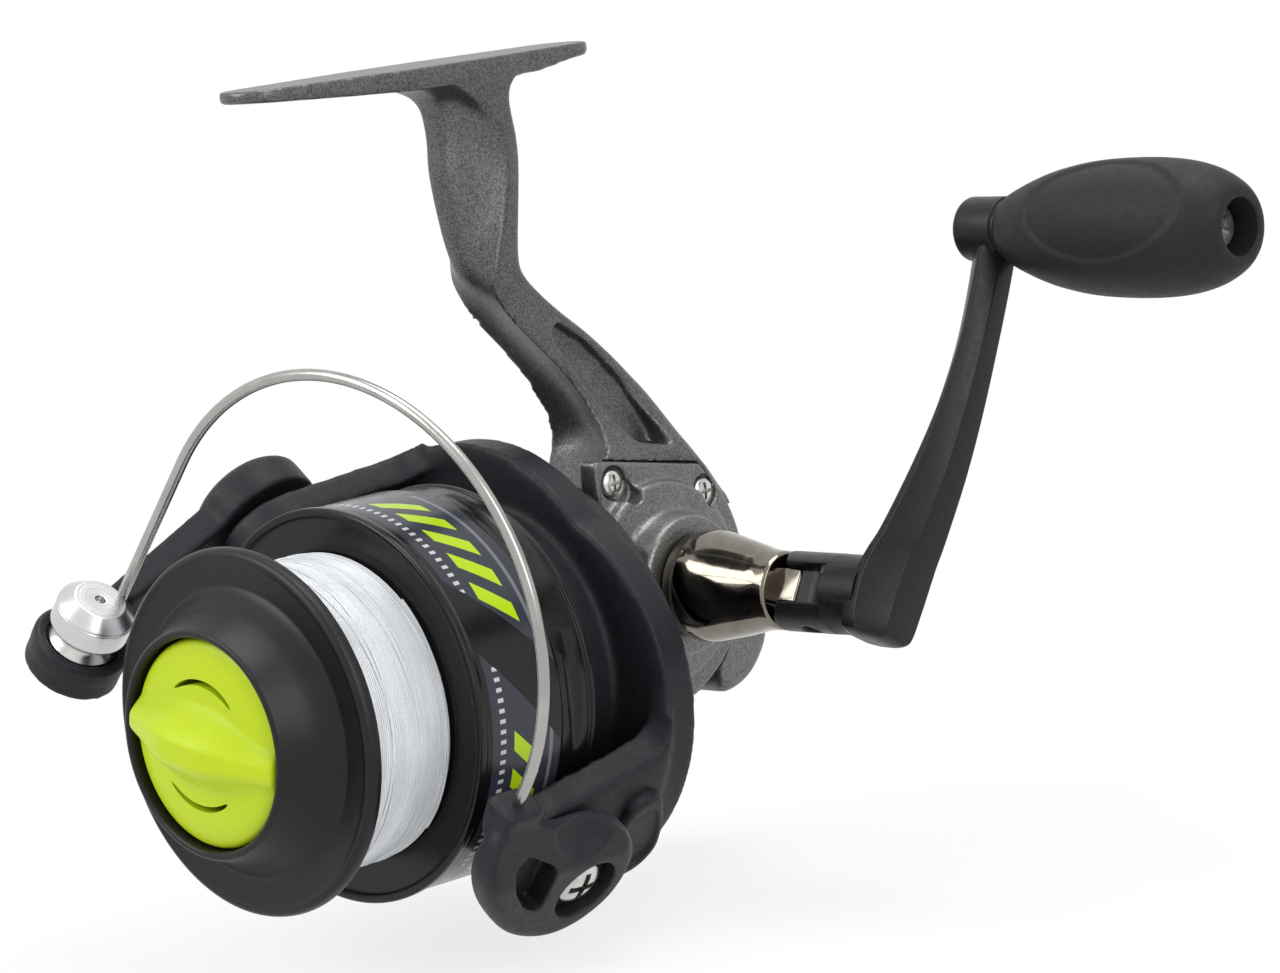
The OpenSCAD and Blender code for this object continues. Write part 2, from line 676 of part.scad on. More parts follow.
// Handle arm, with the fork on the cone's tongue and the hub of the knob
module handle_arm() {
    color("black") reel() on_handle() difference() {
        union() {
            intersection() {
                translate([0, 0, cone_end - 1]) cylinder(r = fork_r, h = elbow_x - cone_end + 2);
                union() {
                    translate([0, 0, fold_x]) rotate([0, 90, 0])
                        cylinder(r = fold_x - cone_end - face_gap, h = far, center = true);
                    translate([-far / 2, -far / 2, fold_x]) cube([far, far, far]);
                }
            }
            intersection() {
                rotate([90, 0, 0]) linear_extrude(far, center = true) polygon(concat(
                    [[-6.2, elbow_x], [-6.2, arm_x - 1.4], [-3.6, arm_x]],
                    bezier([4, arm_x + 1.4], [handle_length * 0.3, arm_x + 6.4],
                        [handle_length * 0.6, arm_x + 5], [handle_length, hub_x + 7], 8),
                    bezier([handle_length, hub_x + 1], [handle_length * 0.6, hub_x + 3.4],
                        [handle_length * 0.3, elbow_x + 4.6], [6.2, elbow_x], 8)));
                translate([0, 0, elbow_x - 1]) linear_extrude(far / 4) polygon(concat(
                    bezier([-6.2, 5], [handle_length * 0.2, 7.4], [handle_length * 0.5, 5.6],
                        [handle_length, 3.2], 8),
                    bezier([handle_length, -3.2], [handle_length * 0.5, -5.6],
                        [handle_length * 0.2, -7.4], [-6.2, -5], 8)));
            }
            translate([handle_length, 0, hub_x - 0.6])
                cylinder(r = handle_hub_r, h = hub_end - hub_x + 0.6);
        }
        translate([-tongue_half - face_gap, -far / 2, 0])
            cube([2 * tongue_half + 2 * face_gap, far, elbow_x - 0.3]);
        translate([0, 0, fold_x]) rotate([0, 90, 0])
            cylinder(r = fold_pin_r + run_gap, h = far / 2, center = true);
        translate([handle_length, 0, hub_x - 4]) cylinder(r = post_r + seat_gap, h = far / 4);
    }
}
module knob_post() {
    color("silver") reel() on_handle() translate([handle_length, 0, 0]) difference() {
        translate([0, 0, hub_x + 1]) cylinder(r = post_r, h = knob_end - knob_hole_depth - hub_x - 1);
        translate([0, 0, knob_end - 16]) cylinder(r = 1.2 + seat_gap, h = 20);
    }
}
module knob_screw() {
    color("silver") reel() on_handle() translate([handle_length, 0, knob_end - knob_hole_depth + 1.4])
        screw(knob_hole_r - 0.4, 1.4, 1.2, 9);
}
module handle_knob() {
    neck = 5.2;
    end_r = 6.4;
    color("black") reel() on_handle() translate([handle_length, 0, 0]) difference() {
        rotate_extrude() polygon(concat([[0, knob_start]],
            bezier([neck, knob_start], [neck + 2, knob_start + knob_length * 0.12],
                [knob_r, knob_start + knob_length * 0.32], [knob_r, knob_start + knob_length * 0.56], 10),
            bezier([knob_r, knob_start + knob_length * 0.6], [knob_r, knob_start + knob_length * 0.82],
                [end_r + 1.6, knob_end - 0.6], [end_r - 1, knob_end], 8),
            [[0, knob_end]]));
        translate([0, 0, knob_start - 1]) cylinder(r = post_r + run_gap, h = far);
        translate([0, 0, knob_end - knob_hole_depth - face_gap]) cylinder(r = knob_hole_r, h = far);
    }
}

// Rotor
arm_back = rotor_back - 5;
arm_foot = arm_back - web_thick - seat_gap - pivot_y;
arm_straight = 0.7 * arm_foot;
arm_waist = arm_tip_r + 0.2 * arm_straight;
function arm_edge() = concat([[0, arm_tip_r]], bezier([arm_straight, arm_waist], [arm_foot, arm_waist + 1],
    [arm_foot, arm_waist + 4], [arm_foot, arm_base_half], 6));
module arm_outline() {
    circle(r = arm_tip_r);
    polygon(concat(arm_edge(),
        [for (i = [len(arm_edge()) - 1 : -1 : 0]) [arm_edge()[i][0], -arm_edge()[i][1]]]));
}
module arm_shell(r0, r1) {
    on_shaft() ring(r1, r0, pivot_y - arm_tip_r - 1, arm_back - 1);
}
// Flange that carries both arms on the rotor's rim
module arm_flange() {
    for (side = [0, 180]) on_pivot(side) translate([arm_foot + seat_gap, 0, arm_out - flange_round - 0.5])
        rotate([0, 90, 0]) cylinder(r = flange_round, h = web_thick);
}
module rotor_arm(side) {
    intersection() {
        arm_shell(arm_in, arm_out);
        on_pivot(side) linear_extrude(far / 2) arm_outline();
    }
    on_pivot(side) translate([0, 0, arm_in + 1]) cylinder(r = 6.4, h = arm_out + face_gap - arm_in - 1);
}
spring_x0 = 9.5;
spring_x1 = 17.5;
spring_r = 1.5;
spring_wire_r = 0.3;
spring_w = arm_in + 2.2;
module roller_cover_outline(grow) {
    translate([spring_x0 - 2 - grow, -4 - grow])
        square([spring_x1 - spring_x0 + 4 + 2 * grow, 8 + 2 * grow]);
}
module rotor() {
    bore = pinion_stem_r + seat_gap;
    color([0.16, 0.16, 0.18]) reel() {
        on_shaft() rotate_extrude() polygon([[bore, rotor_front], [cup_r - 1.5, rotor_front],
            [cup_r, rotor_front + 1.5], [cup_r, rim_y - 4], [rim_r, rim_y], [rim_r, rim_y + 2],
            [rim_r - 2.3, rotor_back], [cup_r + 0.4, rotor_back], [cup_in, rim_y + 0.5],
            [cup_in, rotor_front + rotor_wall], [bore, rotor_front + rotor_wall]]);
        difference() {
            arm_flange();
            on_shaft() cylinder(r = cup_r - 0.4, h = far);
        }
    }
}
module rotor_arms() {
    color([0.16, 0.16, 0.18]) reel() difference() {
        for (side = [0, 180]) rotor_arm(side);
        for (side = [0, 180]) on_pivot(side) cylinder(r = pivot_screw_r + seat_gap, h = far);
        intersection() {
            arm_shell(arm_out - cover_thick, arm_out + 2);
            on_pivot(180) linear_extrude(far / 2) roller_cover_outline(seat_gap);
        }
        on_pivot(180) translate([spring_x0 - 0.4, -spring_r - 0.5, spring_w - spring_r - 0.4])
            cube([spring_x1 - spring_x0 + 0.8, 2 * spring_r + 1, far]);
    }
}
module bail_side_cover() {
    lobe_r = 9;
    color([0.12, 0.12, 0.13]) reel() difference() {
        on_pivot() translate([16.5, -4, arm_in])
            cylinder(r1 = lobe_r, r2 = lobe_r - 1.6, h = arm_thick + 3.4);
        on_shaft() translate([0, 0, -far / 2]) cylinder(r = arm_out + seat_gap, h = far);
        on_pivot() cylinder(r = lever_r + 2 * face_gap, h = far);
    }
}
module roller_side_cover() {
    color([0.12, 0.12, 0.13]) reel() intersection() {
        arm_shell(arm_out - cover_thick + seat_gap, arm_out);
        on_pivot(180) linear_extrude(far / 2) roller_cover_outline(0);
    }
}
module bail_spring() {
    curls = 6;
    steps = 8 * curls;
    turn = function (i) [0, cos(360 * i / 8), sin(360 * i / 8)];
    path = [for (i = [0 : steps]) [spring_x0 + (spring_x1 - spring_x0) * i / steps, 0,
        spring_w] + spring_r * turn(i)];
    color("silver") reel() on_pivot(180) tube(path, [for (i = [0 : steps]) turn(i)], spring_wire_r, 6);
}
module pinion_gear() {
    length = pinion_back - tooth_front;
    fin = 0.3;
    color("goldenrod") reel() on_shaft() difference() {
        union() {
            translate([0, 0, pinion_front])
                cylinder(r = pinion_stem_r, h = tooth_front - pinion_front + 0.2);
            translate([0, 0, tooth_front]) cylinder(r = pinion_root_r, h = length);
            translate([0, 0, tooth_front]) rotate([0, 0, pinion_turn()])
                linear_extrude(length, twist = twist_per_mm * length,
                slices = 24, $fn = 6) for (i = [0 : pinion_teeth - 1])
                    rotate([0, 0, 360 * i / pinion_teeth])
                    polygon([[pinion_root_r - 0.4, -2 * fin], [pinion_r, -1.6 * fin],
                        [pinion_tip_r, -fin], [pinion_tip_r, fin],
                        [pinion_r, 1.6 * fin], [pinion_root_r - 0.4, 2 * fin]]);
        }
        cylinder(r = pinion_bore, h = far);
    }
}
// Turn of the pinion's front end that puts a tooth gap on the mesh point
function pinion_turn() = 180 / pinion_teeth + twist_per_mm * (axle_y - mesh_forward - tooth_front);
module clutch_sleeve() {
    color("silver") reel() on_shaft()
        ring(sleeve_r, pinion_stem_r + seat_gap, rotor_front + rotor_wall, neck_front - face_gap);
}
module rotor_nut() {
    color("silver") reel() on_shaft() difference() {
        hexagon(6.4, rotor_front - nut_height, rotor_front);
        cylinder(r = pinion_stem_r + seat_gap, h = far);
    }
}
module pivot_screws() {
    color("silver") reel() for (side = [0, 180]) on_pivot(side) translate([0, 0, lever_out - 1.6])
        screw(pivot_head_r, 2, pivot_screw_r, lever_out - 1.6 - arm_in - 0.6);
}

// Bail
module lever_bore() {
    cylinder(r = pivot_screw_r + run_gap, h = far);
    translate([0, 0, lever_out - 3.6 - face_gap]) cylinder(r = pivot_head_r + 2 * face_gap, h = far);
}
module bail_arm() {
    front_r = 7.4;
    front = [clevis[0] + 2.2, clevis[1] - 6.6];
    color([0.2, 0.2, 0.22]) reel() on_pivot() difference() {
        union() {
            translate([0, 0, lever_in]) cylinder(r = lever_r, h = lever_thick - 1.5);
            translate([0, 0, lever_out - 1.5]) cylinder(r1 = lever_r, r2 = lever_r - 1.5, h = 1.5);
            hull() {
                translate([0, 0, lever_in]) cylinder(r = lever_r - 1.4, h = lever_thick - 1.5, $fn = 32);
                translate([front[0], front[1], lever_in])
                    cylinder(r = front_r, h = lever_thick - 1.5, $fn = 32);
                translate([front[0], front[1], lever_out - 1.6])
                    cylinder(r = front_r - 1.6, h = 1.6, $fn = 32);
            }
            hull() {
                translate([front[0] - 2, front[1], wire_end_w - 2.8]) cylinder(r = 4.6, h = 5.6, $fn = 32);
                translate([clevis[0], clevis[1], wire_end_w - 2.8]) cylinder(r = 3.2, h = 5.6, $fn = 32);
            }
        }
        lever_bore();
        translate([clevis[0], far / 2, wire_end_w]) rotate([90, 0, 0])
            cylinder(r = wire_r + seat_gap, h = far / 2 - wire_rise + 6);
        intersection() {
            translate([0, 0, lever_out - 4]) ring(lever_r + 1.6, lever_r - 3.4, 0, far);
            translate([front[0] * 0.62, front[1] * 0.62, 0]) cylinder(r = 4.4, h = far);
        }
    }
}
module roller_arm() {
    neck_half = 4.6;
    color([0.2, 0.2, 0.22]) reel() on_pivot(180) mirror([0, 1, 0]) difference() {
        union() {
            translate([0, 0, lever_in]) cylinder(r = lever_r - 0.8, h = lever_thick - 1.5);
            translate([0, 0, lever_out - 1.5]) cylinder(r1 = lever_r - 0.8, r2 = lever_r - 2.3, h = 1.5);
            hull() {
                translate([0, 0, lever_in]) cylinder(r = lever_r - 2.4, h = lever_thick - 1.5, $fn = 32);
                translate([roller_x + 5, seat_low + 5, lever_in])
                    cylinder(r = neck_half, h = lever_thick - 2.5, $fn = 32);
            }
            translate([roller_x, seat_high, roller_w]) rotate([90, 0, 0])
                cylinder(r = seat_r, h = seat_high - seat_low);
        }
        lever_bore();
        translate([roller_x, far / 2, roller_w]) rotate([90, 0, 0])
            cylinder(r = roller_bore_r + seat_gap, h = far);
        translate([roller_x, far / 2 + seat_high, roller_w]) rotate([90, 0, 0])
            cylinder(r = roller_cap_r + 2 * face_gap, h = far / 2);
    }
}
module bail_wire() {
    steps = 36;
    leg = 5;
    tilted = [sin(wire_tilt), 0, cos(wire_tilt)];
    arc = [for (i = [0 : steps]) let (a = 180 * i / steps)
        [-wire_forward, wire_rise + wire_arc_r * sin(a), 0] + wire_arc_r * cos(a) * tilted];
    path = concat([arc[0] - [0, leg, 0]], arc, [[arc[steps][0], cap_high - 1.6, arc[steps][2]]]);
    square_on = cross(tilted, [0, 1, 0]);
    color("silver") reel() on_pivot() tube(path, [for (p = path) square_on], wire_r, 10);
}
module on_roller() {
    on_pivot() translate([roller_x, 0, -roller_w]) rotate([-90, 0, 0]) children();
}
module roller_cap() {
    color("gainsboro") reel() on_roller() difference() {
        rotate_extrude() polygon([[0, cap_low], [roller_cap_r, cap_low], [roller_cap_r, cap_low + 2.6],
            [roller_cap_r - 1.4, cap_high], [0, cap_high]]);
        translate([0, 0, cap_high - 2]) cylinder(r = wire_r + seat_gap, h = 4);
        translate([0, 0, cap_low - 1]) cylinder(r = roller_bore_r + seat_gap, h = 2.2);
    }
}
module roller_post() {
    color("silver") reel() on_roller() translate([0, 0, seat_low + 0.6])
        cylinder(r = roller_bore_r, h = cap_low + 1 - seat_low - 0.6);
}
module line_roller() {
    groove = 0.7;
    color("silver") reel() on_roller() rotate_extrude()
        polygon([[roller_bore_r + run_gap, roller_low], [roller_r, roller_low],
        [roller_r - groove, roller_low + 1.6], [roller_r - groove, roller_high - 1.6],
            [roller_r, roller_high],
        [roller_bore_r + run_gap, roller_high]]);
}

// Shaft
module main_shaft() {
    color("silver") reel() on_shaft() difference() {
        translate([0, 0, shaft_front])
            cylinder(r = shaft_r, h = slider_y + slider_length - shaft_front - 0.4);
        for (s = [-1, 1]) translate([-far / 2, s * (shaft_r - shaft_flat / 2 + far / 4) - far / 4,
            shaft_front - 1])
            cube([far, far / 2, cavity_floor - shaft_front + 0.6]);
        translate([0, 0, cross_pin_y]) rotate([0, 90, 0])
            cylinder(r = cross_pin_r + seat_gap, h = far, center = true);
        translate([0, 0, osc_y]) rotate([90, 0, 0])
            translate([0, 0, slider_screw_end - 0.1]) cylinder(r = slider_screw_r + seat_gap, h = far);
    }
}
module crosswind_slider() {
    slot_depth = 1;
    slot_half = osc_pin_r + run_gap;
    color("goldenrod") reel() difference() {
        translate([slider_left, slider_y, slider_low])
            cube([slider_right - slider_left, slider_length, slider_top - slider_low]);
        on_shaft() cylinder(r = shaft_r + seat_gap, h = far);
        translate([guide_x, 0, guide_z]) on_shaft() cylinder(r = guide_r + run_gap, h = far);
        translate([0, osc_y, 0]) cylinder(r = slider_screw_r + seat_gap, h = far);
        translate([slider_left - slot_depth, osc_y - slot_half, -far / 2])
            cube([2 * slot_depth, 2 * slot_half, far]);
    }
}
module slider_screw() {
    color("silver") reel() translate([0, osc_y, 0]) difference() {
        translate([0, 0, slider_screw_end]) cylinder(r = slider_screw_r, h = slider_top - slider_screw_end);
        translate([-far / 2, -0.15, slider_top - 0.6]) cube([far, 0.3, 1]);
    }
}
module click_gear() {
    teeth = 24;
    color("black") reel() on_shaft() difference() {
        union() {
            translate([0, 0, click_front]) cylinder(r = 6, h = click_thick);
            for (i = [0 : teeth - 1]) rotate([0, 0, 360 * i / teeth]) translate([5.6, -0.4, click_front])
                cube([1.2, 0.8, click_thick]);
        }
        cylinder(r = shaft_r + seat_gap, h = far);
    }
}
module cross_pin() {
    color("silver") reel() translate([0, cross_pin_y, 0]) rotate([0, 90, 0])
        cylinder(r = cross_pin_r, h = 9, center = true);
}

// Spool and line
module spool() {
    color([0.1, 0.1, 0.11]) reel() on_shaft() difference() {
        rotate_extrude() polygon(concat(
            [[shaft_r + run_gap, cavity_floor], [cavity_r, cavity_floor], [cavity_r, recess_floor],
                [recess_r, recess_floor],
                [recess_r, boss_front + 0.4], [recess_r + 0.5, boss_front], [boss_r, boss_front]],
            bezier([boss_r + 0.5, boss_front + 0.4], [boss_r + 2.2, boss_front + 3],
                [boss_r + 3.6, boss_front + 4.6],
                [boss_r + 5.2, boss_front + 5.4], 6),
            [[flange_r - 1.4, -0.1], [flange_r - 0.3, 0.3], [flange_r, 1], [flange_r, bay_front - 0.6],
                [flange_r - 0.7, bay_front],
                [arbor_r, bay_front], [arbor_r, bay_back], [line_r, bay_back],
                [skirt_in - seat_gap, bay_back - 0.7], [skirt_in - seat_gap, bay_back + spool_wall],
                [hub_r, bay_back + spool_wall], [hub_r, hub_back], [shaft_r + run_gap, hub_back]]));
        ring(arbor_r - 2, hub_r, cavity_floor + 2, bay_back + spool_wall + 1);
    }
}
module spool_skirt() {
    ridge = 0.4;
    color([0.1, 0.1, 0.11]) reel() on_shaft() rotate_extrude() polygon([
        [skirt_in, bay_back - 0.7], [skirt_r - 0.6, bay_back - 1], [skirt_r + ridge, bay_back - 0.6],
        [skirt_r + ridge, bay_back + 0.8], [skirt_r, bay_back + 1.4],
        [skirt_r, skirt_back - 7], [skirt_r - 0.8, skirt_back - 6.4], [skirt_r - 0.8, skirt_back - 1.6],
        [skirt_r - 0.3, skirt_back - 1], [skirt_r - 0.3, skirt_back], [skirt_in, skirt_back]]);
}
module line_core() {
    color("whitesmoke") reel() on_shaft()
        ring(core_r, arbor_r + 0.05, bay_front + core_gap, bay_back - core_gap);
}
function wind_at(i) = let (a = 360 * i / wind_rings,
    y = bay_front + wind_margin + wind_pitch * i / wind_rings)
    [wind_r * cos(a), y, wind_r * sin(a)];
module line_winding() {
    last = line_loops * wind_rings;
    path = [for (i = [0 : last]) wind_at(i)];
    sides = [for (i = [0 : last]) unit([path[i][0], 0, path[i][2]])];
    gaps = [for (i = [0 : last - wind_rings]) norm(path[i + wind_rings] - path[i]) - line_d];
    echo(least_line_gap = min(gaps));
    color("white") reel() tube(path, sides, line_d / 2, wind_sides);
}

// Drag
module shaft_hole(z0, z1) {
    intersection() {
        translate([0, 0, z0]) cylinder(r = shaft_r + run_gap, h = z1 - z0);
        translate([-far / 2, -shaft_r + shaft_flat / 2 - run_gap, z0])
            cube([far, 2 * shaft_r - shaft_flat + 2 * run_gap, z1 - z0]);
    }
}
function washer_z(i) = cavity_floor - (i + 1) * (drag_washer_thick + 0.1) + 0.1;
module drag_washers() {
    color("tan") reel() on_shaft() for (i = [0, 2, 4])
        ring(drag_washer_r, shaft_r + 0.6, washer_z(i), washer_z(i) + drag_washer_thick);
}
module keyed_washers() {
    color("silver") reel() on_shaft() for (i = [1, 3]) difference() {
        translate([0, 0, washer_z(i)]) cylinder(r = drag_washer_r - 0.4, h = drag_washer_thick);
        shaft_hole(washer_z(i) - 1, washer_z(i) + 3);
    }
}
module washer_clip() {
    clip_r = 0.5;
    color("silver") reel() on_shaft() translate([0, 0, washer_z(4) - clip_r - 0.1])
        rotate_extrude(angle = 320)
        translate([cavity_r - clip_r - seat_gap, 0]) circle(r = clip_r, $fn = 24);
}
knob_back = recess_floor - face_gap;
knob_rim = knob_back - drag_knob_height;
knob_dome = 1.6;
knob_well_r = 8;
knob_floor = knob_rim + 1.4;
module drag_knob() {
    grip_half = 4.2;
    color("greenyellow") reel() difference() {
        union() {
            on_shaft() rotate_extrude() polygon(concat([[0, knob_back], [drag_knob_r, knob_back],
                [drag_knob_r, knob_rim + 1.2]],
                bezier([drag_knob_r, knob_rim + 1], [drag_knob_r - 0.6, knob_rim],
                    [drag_knob_r * 0.5, knob_rim - knob_dome],
                    [0, knob_rim - knob_dome], 8)));
            intersection() {
                on_shaft() translate([0, 0, knob_rim - ridge_height])
                    cylinder(r = drag_knob_r + 0.3, h = ridge_height);
                rotate([0, 12, 0]) translate([0, knob_rim, 0])
                    linear_extrude(2 * drag_knob_r, center = true, $fn = 32)
                    polygon(concat([[-drag_knob_r - 1, 0]],
                        bezier([-drag_knob_r - 1, -ridge_height * 0.4],
                            [-drag_knob_r * 0.6, -ridge_height * 0.5],
                            [-drag_knob_r * 0.4, -ridge_height], [0, -ridge_height], 8),
                        bezier([0, -ridge_height], [drag_knob_r * 0.4, -ridge_height],
                            [drag_knob_r * 0.6, -ridge_height * 0.5],
                            [drag_knob_r + 1, -ridge_height * 0.4], 8), [[drag_knob_r + 1, 0]]));
                rotate([0, 12, 0]) rotate([90, 0, 0]) linear_extrude(far, center = true) polygon(concat(
                    bezier([-drag_knob_r - 1, grip_half * 0.5], [-drag_knob_r * 0.5, grip_half * 0.5],
                        [-drag_knob_r * 0.4, grip_half], [0, grip_half], 8),
                    bezier([0, grip_half], [drag_knob_r * 0.4, grip_half],
                        [drag_knob_r * 0.5, grip_half * 0.5],
                        [drag_knob_r + 1, grip_half * 0.5], 8),
                    bezier([drag_knob_r + 1, -grip_half * 0.5], [drag_knob_r * 0.5, -grip_half * 0.5],
                        [drag_knob_r * 0.4, -grip_half], [0, -grip_half], 8),
                    bezier([0, -grip_half], [-drag_knob_r * 0.4, -grip_half],
                        [-drag_knob_r * 0.5, -grip_half * 0.5],
                        [-drag_knob_r - 1, -grip_half * 0.5], 8)));
            }
        }
        on_shaft() translate([0, 0, knob_floor]) cylinder(r = knob_well_r, h = far);
        on_shaft() translate([0, 0, shaft_front - 1]) cylinder(r = shaft_r + 2 * face_gap, h = far);
    }
}
module drag_nut() {
    color("goldenrod") reel() on_shaft() difference() {
        hexagon(5.2, knob_floor, knob_floor + 2.4);
        translate([0, 0, knob_floor - 1]) cylinder(r = shaft_r + run_gap, h = 5);
    }
}
module drag_spring() {
    curls = 4;
    steps = 8 * curls;
    z0 = knob_floor + 2.8;
    z1 = washer_z(4) - 0.4;
    r = 4.4;
    turn = function (i) [cos(45 * i), 0, sin(45 * i)];
    path = [for (i = [0 : steps]) [0, z0 + (z1 - z0) * i / steps, 0] + r * turn(i)];
    color("silver") reel() tube(path, [for (i = [0 : steps]) turn(i)], 0.4, 6);
}

// Oscillation gear, whose pin stops just short of the slider
module oscillation_gear() {
    color("goldenrod") reel() translate([osc_left, osc_y, osc_z]) rotate([0, 90, 0]) difference() {
        union() {
            rotate([0, 0, osc_turn()]) spur(osc_teeth, osc_module, osc_width);
            translate([-osc_throw, 0, 0]) cylinder(r = osc_pin_r, h = osc_width + 2.1);
        }
        translate([0, 0, -1]) cylinder(r = osc_post_r + run_gap, h = osc_width + 2);
    }
}
// Turn that puts a tooth gap of the oscillation gear on the driving gear's tooth
function osc_turn() = let (line = 90 - osc_drop, step = 360 / osc_drive_teeth,
    off = line - step * round(line / step))
    line + 180 + off * osc_drive_teeth / osc_teeth + 180 / osc_teeth;

body_housing();
side_cover();
side_cover_screws();
rear_cap();
left_drive_bearing();
right_drive_bearing();
pinion_bearing();
one_way_clutch();
clutch_rollers();
clutch_screws();
slider_guide_rod();
oscillation_post();
anti_reverse_lever();
drive_gear();
handle_cone();
fold_pin();
handle_lock_cap();
handle_arm();
knob_post();
knob_screw();
handle_knob();
rotor();
rotor_arms();
pinion_gear();
clutch_sleeve();
rotor_nut();
pivot_screws();
bail_side_cover();
roller_side_cover();
bail_spring();
bail_arm();
roller_arm();
bail_wire();
roller_cap();
roller_post();
line_roller();
main_shaft();
crosswind_slider();
slider_screw();
click_gear();
cross_pin();
spool();
spool_skirt();
line_core();
line_winding();
drag_washers();
keyed_washers();
washer_clip();
drag_knob();
drag_nut();
drag_spring();
oscillation_gear();
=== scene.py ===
import bpy, bmesh, json, math
from mathutils import Matrix, Vector

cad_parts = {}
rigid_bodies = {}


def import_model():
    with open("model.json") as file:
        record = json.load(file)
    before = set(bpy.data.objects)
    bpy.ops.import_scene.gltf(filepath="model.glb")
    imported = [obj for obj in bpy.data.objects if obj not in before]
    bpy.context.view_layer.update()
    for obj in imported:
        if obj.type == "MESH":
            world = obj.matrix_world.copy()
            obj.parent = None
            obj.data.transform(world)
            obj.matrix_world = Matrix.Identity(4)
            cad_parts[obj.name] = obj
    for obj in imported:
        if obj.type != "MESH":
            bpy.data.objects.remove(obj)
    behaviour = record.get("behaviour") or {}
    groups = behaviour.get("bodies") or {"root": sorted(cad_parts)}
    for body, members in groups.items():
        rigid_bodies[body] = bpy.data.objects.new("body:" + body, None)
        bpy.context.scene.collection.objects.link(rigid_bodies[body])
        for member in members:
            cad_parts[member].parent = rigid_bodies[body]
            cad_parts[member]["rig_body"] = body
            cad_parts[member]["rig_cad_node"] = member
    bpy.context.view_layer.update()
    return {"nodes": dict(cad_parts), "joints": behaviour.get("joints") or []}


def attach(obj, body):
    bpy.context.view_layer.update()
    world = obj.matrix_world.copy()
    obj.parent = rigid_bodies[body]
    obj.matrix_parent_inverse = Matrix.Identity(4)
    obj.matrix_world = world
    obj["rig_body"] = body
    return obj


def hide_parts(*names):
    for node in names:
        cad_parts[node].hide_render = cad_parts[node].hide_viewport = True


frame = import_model()
nodes = frame["nodes"]
joints = {joint["name"]: joint for joint in frame["joints"]}
print("frame loaded:", len(nodes), "nodes")


# camera at the photograph's angle
camera = {
    "place": (0.5166, -0.4815, 0.0366),
    "right": (0.7177, 0.6892, -0.0982),
    "up": (-0.0320, 0.1735, 0.9840),
    "lens": 129.85,
    "sensor": 36,
}

def makeCamera():
    clearSelection()
    bpy.ops.object.camera_add()
    eye = bpy.context.object
    right = Vector(camera["right"]).normalized()
    back = right.cross(Vector(camera["up"])).normalized()
    up = back.cross(right)
    turn = Matrix((right, up, back)).transposed().to_4x4()
    eye.matrix_world = Matrix.Translation(camera["place"]) @ turn
    eye.data.sensor_fit = "HORIZONTAL"
    eye.data.sensor_width = camera["sensor"]
    eye.data.lens = camera["lens"]
    eye.data.clip_start = 0.01
    bpy.context.scene.camera = eye


# working frames: millimetres along the axes of the reel
def workFrame(origin, across, along):
    z = Vector(along).normalized()
    x = Vector(across).normalized()
    y = z.cross(x)
    turn = Matrix((x, y, z)).transposed().to_4x4()
    return Matrix.Translation(origin) @ turn @ Matrix.Scale(0.001, 4)

def jointPlace(name):
    return Vector(joints[name]["pos_m"])

spoolFront = -0.0477
shaftZ = jointPlace("rotor_turn").z
axlePlace = Vector((0, jointPlace("handle_turn").y, jointPlace("handle_turn").z))
foldAxis = Vector(joints["handle_fold"]["axis"])
handleUp = Vector((0, -foldAxis.y, -foldAxis.z))
pivotAxis = Vector(joints["bail_flip"]["axis"])
rollerAxis = Vector(joints["roller_turn"]["axis"])
pivotPlace = jointPlace("bail_flip")

onReel = workFrame((0, spoolFront, shaftZ), (1, 0, 0), (0, 0, 1))
onShaft = workFrame((0, spoolFront, shaftZ), (1, 0, 0), (0, 1, 0))
onHandle = workFrame(axlePlace, handleUp, (1, 0, 0))
onPivot = workFrame(pivotPlace, (0, 1, 0), pivotAxis)
onFarPivot = workFrame(pivotPlace, (0, 1, 0), -pivotAxis)
onRoller = workFrame(jointPlace("roller_turn"), (0, 1, 0), rollerAxis)

def onSide(x, y, z):
    return workFrame(onReel @ Vector((x, y, z)), (0, 1, 0), (1, 0, 0))


# small shop tools
def clearSelection():
    if bpy.context.mode != "OBJECT":
        bpy.ops.object.mode_set(mode="OBJECT")
    bpy.ops.object.select_all(action="DESELECT")

def pick(piece):
    clearSelection()
    piece.select_set(True)
    bpy.context.view_layer.objects.active = piece

def editAll(piece):
    pick(piece)
    bpy.ops.object.mode_set(mode="EDIT")
    bpy.ops.mesh.select_all(action="SELECT")

def named(name):
    piece = bpy.context.object
    piece.name = name
    piece.data.name = name
    return piece

def cleanMesh(piece, gap=0.002):
    editAll(piece)
    bpy.ops.mesh.remove_doubles(threshold=gap)
    bpy.ops.mesh.normals_make_consistent(inside=False)
    bpy.ops.object.mode_set(mode="OBJECT")

def settle(piece, place):
    pick(piece)
    piece.matrix_world = place
    bpy.ops.object.transform_apply(location=True, rotation=True, scale=True)
    return piece

def applyModifier(piece, kind, **values):
    pick(piece)
    modifier = piece.modifiers.new(kind.lower(), kind)
    for key, value in values.items():
        setattr(modifier, key, value)
    bpy.ops.object.modifier_apply(modifier=modifier.name)

def bevelEdges(piece, width, segments, angle=60):
    applyModifier(piece, "BEVEL", width=width, segments=segments, limit_method="ANGLE",
        angle_limit=math.radians(angle))

